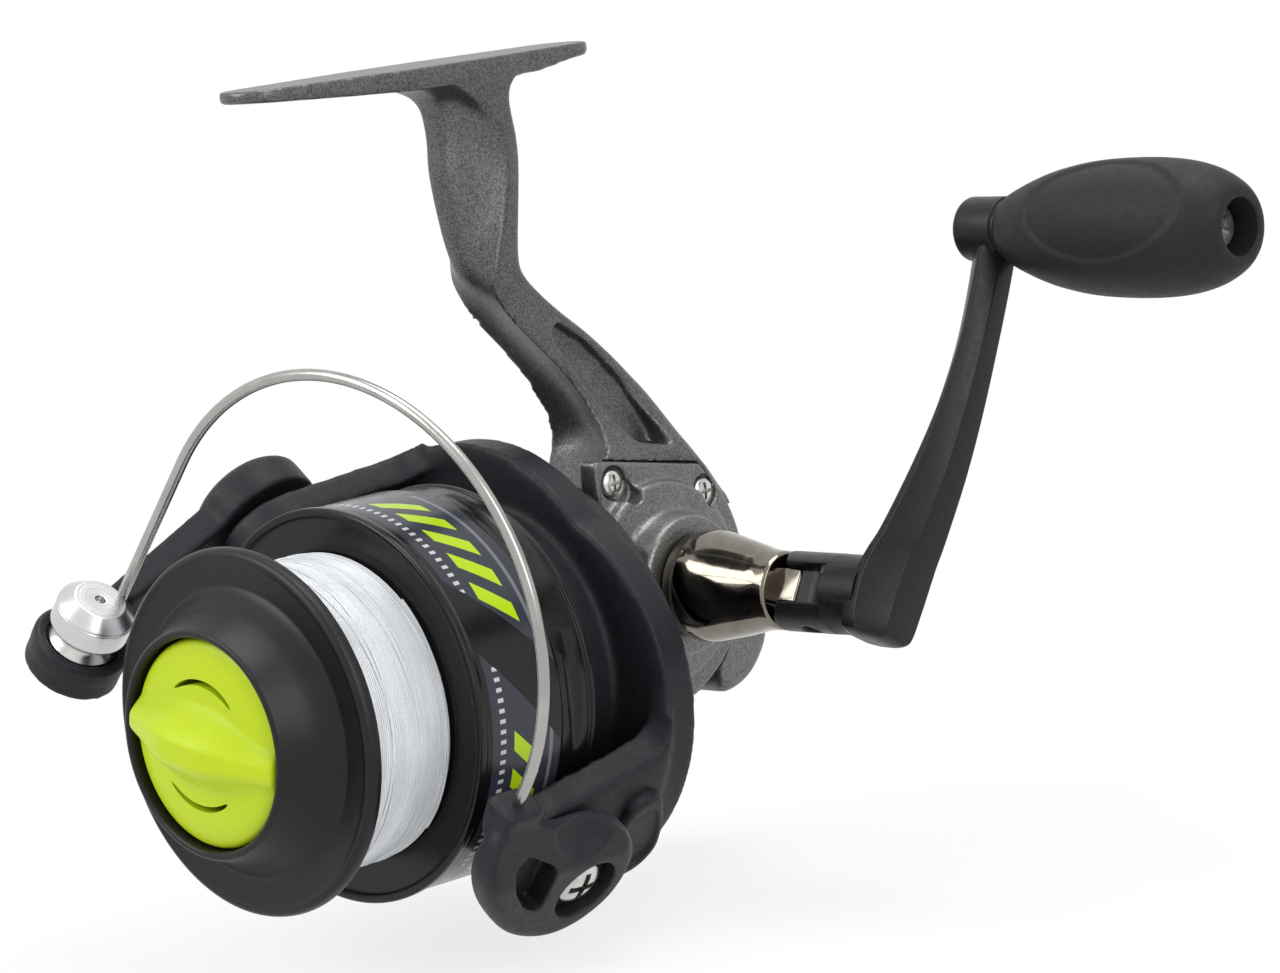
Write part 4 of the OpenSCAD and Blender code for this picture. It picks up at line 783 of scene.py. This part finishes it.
def smoothLoop(points, steps):
    wrapped = [*points[-2:], *points, *points[:3]]
    run = smoothRun(wrapped, steps)
    return run[2 * steps:(2 + len(points)) * steps]

def makeBail():
    arm = slab("bailArm", smoothLoop(bailArm["outline"], 6), bailArm["inner"], bailArm["outer"])
    bevelEdges(arm, bailArm["edge"], 8)
    low, high = bailArm["clevis"]
    rings = []
    for n, left, under, shrink in bailArm["clevisRings"]:
        loop = roundedLoop(((low[0] + left, low[2] + under), (high[0] - shrink, low[2] + under),
            (high[0] - shrink, high[2] - shrink), (low[0] + left, high[2] - shrink)), 1.3)
        rings.append([Vector((q[0], n, q[1])) for q in loop])
    start, fall, end = (bailArm[key] for key in ("slopeStart", "slopeFall", "slopeEnd"))
    drop = bailArm["outer"] - fall * (end - start)
    wedge = ((start, bailArm["outer"]), (end, drop), (end, bailArm["out"]), (start, bailArm["out"]))
    combine(arm, loft("slope", [[Vector((x, n, w)) for n, w in wedge] for x in (-40, 20)]))
    combine(arm, loft("clevis", rings), "UNION")
    combine(arm, ball("saddle", bailArm["saddle"], bailArm["saddleReach"]))
    skin(arm, 0.28, 20)
    pocket = roundedLoop(bailArm["pocket"], bailArm["pocketRound"])
    cuts = (
        rod("recess", (0, 0, bailArm["recessFloor"]), (0, 0, bailArm["out"]), bailArm["recess"], 96),
        slab("pocket", pocket, bailArm["pocketFloor"], bailArm["out"]),
    )
    for tool in cuts:
        combine(arm, tool)
    skin(arm, 0.24, 4, 0.7)
    settle(arm, onPivot)
    finishPiece(arm, "bail", charcoal, ("bail_arm",), 60)
    carrier = skin(castCopy("rollerArm", "roller_arm"), 0.0003, 18)
    hole = rod("recess", (0, 0, bailArm["recessFloor"]), (0, 0, bailArm["out"]), bailArm["recess"], 96)
    combine(carrier, settle(hole, onFarPivot))
    seat = spinOutline("seat", rounded(roller["seat"]), 96)
    combine(carrier, settle(seat, onRoller), "UNION")
    skin(carrier, 0.00025, 4, 0.7)
    finishPiece(carrier, "bail", charcoal, ("roller_arm",), 60)
    seat = Matrix.Translation((0, 0, bailArm["screwSeat"]))
    placeScrew("pivotScrewNear", onPivot @ seat, bailArm["screwHead"], "rotor", ("pivot_screws",))
    placeScrew("pivotScrewFar", onFarPivot @ seat, bailArm["screwHead"], "rotor")

bailWire = {
    "radius": 0.9, "arc": 38.6, "forward": 21.7, "rise": 18.2, "tilt": 4.6, "leg": 5.0, "footHigh": -11.6,
}

def makeWire():
    tilt = math.radians(bailWire["tilt"])
    lean = Vector((math.sin(tilt), 0, math.cos(tilt)))
    middle = Vector((-bailWire["forward"], bailWire["rise"], 0))
    arc = [middle + lean * bailWire["arc"] * math.cos(a) + Vector((0, bailWire["arc"] * math.sin(a), 0))
        for a in (math.pi * i / 96 for i in range(97))]
    start = arc[0] - Vector((0, bailWire["leg"], 0))
    end = Vector((arc[-1].x, bailWire["footHigh"], arc[-1].z))
    wire = sweepWire("bailWire", [start] + arc + [end], bailWire["radius"], 6)
    settle(wire, onPivot)
    finishPiece(wire, "bail", wireSteel, ("bail_wire",), 60)

def makeRoller():
    cap = spinOutline("rollerCap", rounded(roller["cap"]), 96)
    settle(cap, onRoller)
    finishPiece(cap, "bail", aluminium, ("roller_cap",))
    wheel = spinOutline("lineRoller", rounded(roller["wheel"]), 96)
    settle(wheel, onRoller)
    finishPiece(wheel, "roller", steel, ("line_roller",))

makeRotor()
makeBail()
makeWire()
makeRoller()
print("rotor and bail made")


# body: stem, case, cover and cap
body = {
    # height, front, share of the nose, power of the front curve, hollow,
    # near ridge in x and y, far ridge in x and y, back, rounding of the back
    "stem": (
        (92.6, 42.0, 0.80, 1.0, 0.0, 7.6, 47.0, 7.6, 47.0, 66.6, 1.2),
        (91.0, 45.0, 0.70, 1.0, 0.2, 7.5, 49.0, 7.5, 49.0, 64.8, 1.2),
        (89.8, 48.0, 0.53, 1.0, 0.6, 7.3, 51.2, 7.3, 51.2, 63.5, 1.2),
        (88.6, 49.8, 0.42, 1.0, 0.9, 7.05, 53.4, 7.05, 53.4, 62.9, 1.2),
        (86.8, 50.7, 0.37, 1.0, 1.0, 6.7, 55.9, 6.7, 55.9, 62.9, 1.2),
        (84.4, 50.95, 0.36, 1.0, 1.0, 6.4, 58.4, 6.4, 58.4, 63.4, 1.2),
        (81.5, 50.9, 0.35, 1.0, 1.0, 6.2, 60.2, 6.2, 60.2, 64.0, 1.2),
        (77.2, 50.6, 0.36, 1.0, 1.0, 6.0, 61.0, 6.0, 61.0, 64.2, 1.2),
        (71.0, 51.4, 0.36, 1.0, 0.9, 5.8, 59.7, 5.8, 59.7, 63.5, 1.2),
        (65.5, 52.6, 0.34, 1.0, 0.7, 5.6, 57.9, 5.6, 57.9, 62.8, 1.2),
        (61.0, 54.2, 0.20, 1.3, 0.3, 5.2, 56.7, 5.2, 56.7, 63.0, 1.2),
        (57.6, 56.8, 0.0, 1.8, 0.0, 4.7, 57.0, 4.7, 57.0, 65.8, 1.3),
        (53.2, 60.9, 0.0, 2.0, 0.0, 4.4, 59.7, 4.4, 59.7, 71.1, 1.7),
        (48.7, 65.6, 0.0, 2.0, 0.0, 4.6, 64.0, 4.6, 64.0, 76.9, 2.0),
        (44.5, 69.7, 0.0, 2.0, 0.0, 5.0, 68.0, 5.0, 68.0, 81.5, 2.3),
        (40.8, 72.9, 0.0, 2.0, 0.0, 5.2, 71.0, 5.2, 71.0, 85.2, 2.5),
        (38.2, 74.6, 0.0, 2.0, 0.0, 5.5, 72.6, 5.3, 72.7, 87.6, 2.6),
        (35.5, 76.0, 0.0, 2.0, 0.0, 6.4, 73.5, 5.5, 74.4, 89.3, 2.7),
        (33.0, 76.6, 0.0, 2.0, 0.0, 7.6, 73.8, 5.8, 75.2, 90.4, 2.8),
        (30.6, 76.2, 0.0, 2.0, 0.0, 9.2, 72.7, 6.2, 75.4, 91.1, 2.9),
        (28.6, 75.0, 0.0, 2.0, 0.0, 10.8, 69.8, 6.6, 75.3, 91.6, 3.0),
        (27.0, 73.8, 0.0, 2.0, 0.0, 11.6, 67.9, 7.0, 75.2, 92.3, 3.0),
        (24.5, 72.4, 0.0, 2.0, 0.0, 12.0, 66.9, 7.4, 75.0, 94.0, 3.0),
        (21.0, 71.6, 0.0, 2.0, 0.0, 12.0, 66.7, 8.0, 75.0, 96.2, 3.0),
        (18.0, 71.4, 0.0, 2.0, 0.0, 12.0, 66.7, 8.0, 75.0, 98.0, 3.0),
    ),
    "stemBox": ((40, 25.2), (110, 25.2), (110, 90.4), (40, 90.4)),
    "stemBack": (
        (89.6, 33.0), (90.4, 29.8), (92.2, 27.0), (94.7, 23.7),
        (98.5, 18.1), (103.0, 18.1), (103.0, 33.0),
    ),
    "coverSeat": (
        (67.9, 29.75), (90.95, 25.6), (96.2, 17.5), (101.0, 8.0),
        (101.0, -30.0), (67.9, -30.0),
    ),
    "seat": 8.0,
    "axle": (78.5, 8.5), "cavity": 16.2, "cavityLow": -10.9, "coverRim": 20.9,
    "sump": (86.0, 0.0), "sumpInside": 10.4,
    "cap": (
        (92.5, 17.4), (97.6, 17.4), (100.6, 12.5), (103.4, 5.0), (104.9, -2.0),
        (104.4, -6.2), (100.9, -10.4), (97.2, -12.3), (92.5, -12.9),
    ),
    "capLow": -10.6, "capTop": 10.4, "capEdge": 2.6,
    "pocket": (
        (69.7, 51.4), (68.4, 49.1), (74.9, 39.5), (80.2, 30.6),
        (87.0, 29.0), (86.5, 31.8), (81.7, 40.5), (75.5, 47.4),
    ),
    "pocketRound": 0.8, "pocketTop": 51.0, "pocketLow": 29.0, "floorTop": 1.9, "floorLow": 5.0,
    "outside": 16.0, "draft": 0.3, "blend": 0.1,
    "screws": ((70.9, 25.7), (91.1, 20.9), (73.5, -8.7)), "screwHead": 2.1, "screwSeat": 11.5,
    "recess": 2.75, "recessFloor": 10.9, "notch": (2.0, -1.7, 1.9),
}

def stemSide(front, share, power, deep, half, ridge, back, turn):
    # from the middle of the front over the ridge to the back
    side = []
    blend = body["blend"]
    for k in range(25):
        t = math.sin(0.5 * math.pi * k / 24)
        past = t - share
        u = min((math.hypot(past, blend) + past) / (math.hypot(1 - share, blend) + 1 - share), 1)
        side.append(Vector((half * t, front + (ridge - front) * u ** power + deep * math.sin(math.pi * u))))
    flat = half - body["draft"]
    for k in range(1, 8):
        side.append(Vector((half, ridge)).lerp(Vector((flat, back - turn)), k / 7))
    for k in range(1, 7):
        a = 0.5 * math.pi * k / 6
        side.append(Vector((flat - turn * (1 - math.cos(a)), back - turn * (1 - math.sin(a)))))
    return side

def stemRing(z, front, share, power, deep, near, nearRidge, far, farRidge, back, turn):
    right = stemSide(front, share, power, deep, near, nearRidge, back, turn)
    left = stemSide(front, share, power, deep, far, farRidge, back, turn)
    return [Vector((q.x, q.y, z)) for q in right] + [Vector((-q.x, q.y, z)) for q in left[:0:-1]]

def makeStem():
    return loft("stem", [stemRing(*row) for row in smoothRun(body["stem"], 5)])

def acrossSlab(name, outline, low, high):
    # an outline in (y, z), drawn out from side to side
    return loft(name, [[Vector((x, y, z)) for y, z in outline] for x in (low, high)])

def acrossRod(name, place, radius, low, high):
    return rod(name, (low, *place), (high, *place), radius, 160)

def pocketTool():
    loop = roundedLoop(body["pocket"], body["pocketRound"])
    rise = (body["floorTop"] - body["floorLow"]) / (body["pocketTop"] - body["pocketLow"])
    floor = [Vector((body["floorLow"] + rise * (p[1] - body["pocketLow"]), p[0], p[1])) for p in loop]
    mouth = [Vector((body["outside"], p[0], p[1])) for p in loop]
    return loft("pocket", [floor, mouth])

def makeBody():
    wide, seat = body["outside"] + 10, body["seat"]
    stem = makeStem()
    for tool in (acrossRod("cavity", body["axle"], body["cavity"], body["cavityLow"], seat),
            acrossSlab("coverSeat", body["coverSeat"], seat, wide), pocketTool()):
        combine(stem, tool)
        cleanMesh(stem, 0.0005)
    settle(stem, onReel)
    housing = castCopy("bodyHousing", "body_housing")
    for name in ("stemBox", "stemBack"):
        combine(housing, settle(acrossSlab(name, body[name], -wide, wide), onReel))
    clearSelection()
    stem.select_set(True)
    housing.select_set(True)
    bpy.context.view_layer.objects.active = housing
    bpy.ops.object.join()
    skin(housing, 0.0004, 11, 0.42)
    finishPiece(housing, "frame", gunmetal, ("body_housing",), 60)
    cover = skin(castCopy("sideCover", "side_cover"), 0.00035, 26)
    head, floor, far = body["recess"], body["recessFloor"], body["outside"]
    for y, z in body["screws"]:
        combine(cover, settle(rod("recess", (0, 0, 0), (0, 0, far), head), onSide(floor, y, z)))
    dy, dz, r = body["notch"]
    y, z = body["screws"][0]
    combine(cover, settle(rod("notch", (0, 0, 0.4), (0, 0, far), r), onSide(floor, y + dy, z + dz)))
    skin(cover, 0.00025, 4, 0.6)
    finishPiece(cover, "frame", coverPaint, ("side_cover",), 60)
    for i, (y, z) in enumerate(body["screws"]):
        placeScrew("coverScrew" + str(i), onSide(body["screwSeat"], y, z), body["screwHead"], "frame",
            ("side_cover_screws",) if i == 0 else ())
    cap = castCopy("rearCap", "rear_cap")
    bulge = acrossSlab("bulge", roundedLoop(body["cap"], 2.0), body["capLow"], body["capTop"])
    bevelEdges(bulge, body["capEdge"], 5)
    low, high = body["cavityLow"], body["capTop"] + 3
    for tool in (acrossRod("cavity", body["axle"], body["cavity"], low, high),
            acrossRod("sump", body["sump"], body["sumpInside"], low, high),
            acrossRod("rim", body["axle"], body["coverRim"], seat, high)):
        combine(bulge, tool)
    combine(cap, settle(bulge, onReel), "UNION")
    skin(cap, 0.0004, 10)
    finishPiece(cap, "frame", coverPaint, ("rear_cap",), 60)
    lever = skin(castCopy("antiReverseLever", "anti_reverse_lever"), 0.0003, 10)
    finishPiece(lever, "anti_reverse", charcoal, ("anti_reverse_lever",), 60)

makeBody()
print("body made")


# handle
cone = {
    "outline": (
        (2.0, 20.2, 0), (7.7, 20.2, 0.2), (8.2, 20.6, 0.4), (8.3, 22.4, 0.3), (8.8, 23.0, 0.5),
        (8.8, 25.5, 2.0), (7.6, 31.0, 4.0), (6.3, 36.5, 2.0), (6.1, 39.4, 0.4), (5.8, 39.9, 0.2),
        (2.0, 39.9, 0), (2.0, 20.2, 0),
    ),
    "fold": 46.7, "eye": 3.0, "eyeHalf": 2.5,
    "collarWide": 3.4, "collarHalf": 2.75, "collarEnd": 44.6, "collarEdge": 0.35,
    "spindleIn": -13.0, "spindleOut": 21.0, "spindle": 2.9,
}

def makeCone():
    lie = Matrix(((0, 0, 1, 0), (1, 0, 0, 0), (0, 1, 0, 0), (0, 0, 0, 1)))
    eye, half, end = cone["eye"], cone["eyeHalf"], cone["fold"]
    arc = [(-eye, end - 12)]
    for k in range(25):
        a = math.pi - math.pi * k / 24
        arc.append((eye * math.cos(a), end + eye * math.sin(a)))
    arc.append((eye, end - 12))
    # the tongue's eye past the chrome collar is satin black: painted shade for the dark gap between the fork
    # cheeks
    tongue = settle(slab("foldTonguePaintedShade", arc, -half, half), onHandle @ lie)
    finishPiece(tongue, "handle_drive", satinBlack, (), 40)
    wide, tall, reach = cone["collarWide"], cone["collarHalf"], cone["collarEnd"]
    loop = roundedLoop(((-wide, end - 12), (wide, end - 12), (wide, reach), (-wide, reach)), 0.5)
    collar = slab("foldCollar", loop, -tall, tall)
    bevelEdges(collar, cone["collarEdge"], 3)
    settle(collar, onHandle @ lie)
    finishPiece(collar, "handle_drive", blackChrome, (), 40)
    low, high = (0, 0, cone["spindleIn"]), (0, 0, cone["spindleOut"])
    spindle = settle(rod("driveSpindle", low, high, cone["spindle"], 6), onHandle)
    finishPiece(spindle, "handle_drive", steel, (), 30)
    piece = settle(spinOutline("handleCone", rounded(cone["outline"], 8), 128), onHandle)
    finishPiece(piece, "handle_drive", blackChrome, ("handle_cone",), 30)

arm = {
    # along the arm: outer face, front edge, inner face, half width, depth of the front bevel
    "stations": (
        (-7.0, 60.4, 58.4, 56.8, 3.2, 1.4), (-6.6, 61.9, 57.6, 55.8, 4.6, 2.6),
        (-5.4, 62.7, 57.2, 55.2, 5.5, 3.4), (-1.0, 63.0, 57.4, 54.8, 5.9, 3.9),
        (3.0, 63.4, 58.2, 55.4, 5.9, 4.0), (6.4, 64.0, 59.2, 56.8, 5.6, 3.9),
        (10.0, 64.9, 60.4, 58.4, 5.2, 3.6), (20.0, 66.5, 62.7, 60.6, 4.5, 3.0),
        (30.0, 67.2, 64.4, 62.2, 4.0, 2.5), (40.0, 67.3, 65.0, 62.8, 3.6, 2.2),
        (50.0, 67.0, 64.5, 62.2, 3.4, 1.8), (59.3, 66.4, 63.6, 61.0, 3.2, 1.6),
    ),
    "hub": (
        (0.0, 58.5, 0), (4.3, 58.5, 0.3), (5.0, 59.1, 0.5), (5.0, 65.9, 0.3),
        (4.6, 66.1, 0.1), (4.6, 66.6, 0.2), (0.0, 66.6, 0),
    ),
    "reach": 59.3, "bevel": 0.4, "forkEnd": 51.6, "rootRadius": 6.15, "rootStart": 51.2, "rootEnd": 58.0,
}

def makeArm():
    rings = []
    for s, outer, edge, inner, half, deep in smoothRun(arm["stations"], 4):
        front = edge - 0.2 * deep
        section = ((outer, 0.28 * half), (outer - deep, half), (front, 0.94 * half), (inner, 0.5 * half),
            (inner, -0.5 * half), (front, -0.94 * half), (outer - 1.2, -half), (outer, 0.9 - half))
        rings.append([Vector((s, t, x)) for x, t in section])
    piece = loft("handleArm", rings)
    bevelEdges(piece, arm["bevel"], 3, 16)
    settle(piece, onHandle)
    hub = spinOutline("hub", rounded(arm["hub"]), 72)
    combine(piece, settle(hub, onHandle @ Matrix.Translation((arm["reach"], 0, 0))), "UNION")
    fork = castCopy("fork", "handle_arm")
    keep = slab("keep", ((-9, -9), (9, -9), (9, 9), (-9, 9)), 30, arm["forkEnd"])
    combine(fork, settle(keep, onHandle), "INTERSECT")
    skin(fork, 0.00025, 6)
    root = rod("root", (0, 0, arm["rootStart"]), (0, 0, arm["rootEnd"]), arm["rootRadius"], 96)
    combine(piece, settle(root, onHandle), "UNION")
    combine(piece, fork, "UNION")
    finishPiece(piece, "handle", satinBlack, ("handle_arm",), 30)

grip = {
    "start": 66.9, "length": 43.0,
    # along the knob: radius
    "sides": (
        (0.0, 4.9), (1.2, 5.7), (4.0, 6.9), (8.0, 8.3), (12.0, 9.3), (17.0, 10.1),
        (23.0, 10.45), (29.0, 10.4), (34.0, 9.9), (38.0, 8.9), (41.0, 7.5), (42.6, 6.2),
        (43.0, 5.2),
    ),
    "hole": 4.3, "holeDeep": 7.0, "bore": 2.5,
    "padMiddle": 23.0, "padLong": 14.5, "padWide": 8.0, "padDeep": 0.42, "padEdge": 0.05,
}

def makeGrip():
    sides = [Vector((r, u)) for u, r in smoothRun(grip["sides"], 10)]
    end, hole, deep = grip["length"], grip["hole"], grip["holeDeep"]
    bore, floor = grip["bore"], end - deep
    mouth = rounded((
        (sides[-1].x, end, 0), (hole, end, 0.5), (hole - 0.2, floor, 0.8), (bore, floor, 0), (bore, 0.0, 0)), 6)
    outline = [Vector((bore, 0.0))] + sides + mouth[1:]
    piece = spinOutline("handleGrip", outline, 256)
    for v in piece.data.vertices:
        far = math.hypot((v.co.z - grip["padMiddle"]) / grip["padLong"], v.co.x / grip["padWide"])
        around = math.hypot(v.co.x, v.co.y)
        if around > grip["hole"] + 0.4:
            share = 1 - smoothStep(1 - grip["padEdge"], 1 + grip["padEdge"], far)
            sunk = 1 - grip["padDeep"] * share / around
            v.co.x *= sunk
            v.co.y *= sunk
    settle(piece, onHandle @ Matrix.Translation((arm["reach"], 0, grip["start"])))
    finishPiece(piece, "grip", softTouch, ("handle_knob",), 60)

def makeHandle():
    makeCone()
    makeArm()
    makeGrip()
    cap = skin(castCopy("handleLockCap", "handle_lock_cap"), 0.0003, 6)
    finishPiece(cap, "handle_drive", satinBlack, ("handle_lock_cap",), 60)

makeHandle()
bpy.data.objects.remove(screwMaster)
print("handle made")


# CAD nodes that stay get the same finishes
stayed = {
    steel: (
        "left_drive_bearing", "right_drive_bearing", "pinion_bearing", "clutch_rollers", "clutch_screws",
        "slider_guide_rod", "oscillation_post", "fold_pin", "knob_post", "clutch_sleeve", "rotor_nut",
        "bail_spring", "roller_post", "main_shaft", "slider_screw", "cross_pin", "keyed_washers",
        "washer_clip", "drag_spring"),
    darkSteel: ("one_way_clutch", "knob_screw"),
    brass: ("pinion_gear", "drag_nut", "crosswind_slider", "oscillation_gear"),
    aluminium: ("drive_gear",),
    satinBlack: ("click_gear",),
    felt: ("drag_washers",),
}
for material, names in stayed.items():
    for name in names:
        nodes[name].data.materials.clear()
        nodes[name].data.materials.append(material)


# studio
studio = {
    "floor": -0.1335, "floorSize": 8.0, "pale": (0.9, 0.9, 0.9),
    "near": 0.10, "far": 0.34, "nearGlow": 0.80, "sky": 0.42,
}

def lightPanel(name, place, target, size, power):
    clearSelection()
    bpy.ops.object.light_add(type="AREA", location=place)
    lamp = bpy.context.object
    lamp.name = name
    lamp.data.shape = "RECTANGLE"
    lamp.data.size, lamp.data.size_y = size
    lamp.data.energy = power
    lamp.rotation_euler = (Vector(target) - Vector(place)).to_track_quat("-Z", "Y").to_euler()

def seenWhite(tree):
    # 1 for what the camera, a mirror or clear plastic sees
    path = tree.nodes.new("ShaderNodeLightPath")
    seen = path.outputs["Is Camera Ray"]
    for other in ("Is Glossy Ray", "Is Transmission Ray"):
        either = tree.nodes.new("ShaderNodeMath")
        either.operation = "MAXIMUM"
        tree.links.new(seen, either.inputs[0])
        tree.links.new(path.outputs[other], either.inputs[1])
        seen = either.outputs[0]
    return seen

def makeFloor():
    clearSelection()
    bpy.ops.mesh.primitive_plane_add(size=studio["floorSize"], location=(0, 0, 0))
    floor = named("studioFloor")
    floor.location.z = studio["floor"]
    paper = Finish("palePaper")
    paper.surface((*studio["pale"], 1), 0.9, specular=0.0)
    tree = paper.tree
    glow = paper.node("ShaderNodeEmission")
    away = paper.node("ShaderNodeVectorMath", operation="LENGTH")
    paper.feed(away.inputs[0], paper.coords)
    fade = paper.spread(away.outputs["Value"], studio["nearGlow"], 1.0, studio["near"], studio["far"])
    share = paper.math("MULTIPLY", fade, seenWhite(tree))
    mix = paper.node("ShaderNodeMixShader")
    paper.feed(mix.inputs[0], share)
    tree.links.new(paper.shader.outputs[0], mix.inputs[1])
    tree.links.new(glow.outputs[0], mix.inputs[2])
    tree.links.new(mix.outputs[0], tree.nodes["Material Output"].inputs["Surface"])
    floor.data.materials.append(paper.material)

def makeSky():
    world = bpy.data.worlds.new("studioSky")
    bpy.context.scene.world = world
    world.use_nodes = True
    tree = world.node_tree
    level = tree.nodes.new("ShaderNodeMapRange")
    level.inputs["To Min"].default_value = studio["sky"]
    level.inputs["To Max"].default_value = 1.0
    tree.links.new(seenWhite(tree), level.inputs["Value"])
    tree.nodes["Background"].inputs["Color"].default_value = (1, 1, 1, 1)
    tree.links.new(level.outputs[0], tree.nodes["Background"].inputs["Strength"])

makeFloor()
makeSky()
lightPanel("keyPanel", (-0.35, -0.75, 0.55), (0, -0.02, -0.07), (0.6, 0.6), 5.5)
lightPanel("sidePanel", (0.85, -0.15, 0.35), (0.02, 0, -0.06), (0.35, 0.7), 3.0)
lightPanel("topPanel", (0.05, 0.15, 0.85), (0, 0, -0.07), (0.7, 0.5), 5.0)
bpy.context.scene.view_settings.view_transform = "Standard"
print("studio lit")
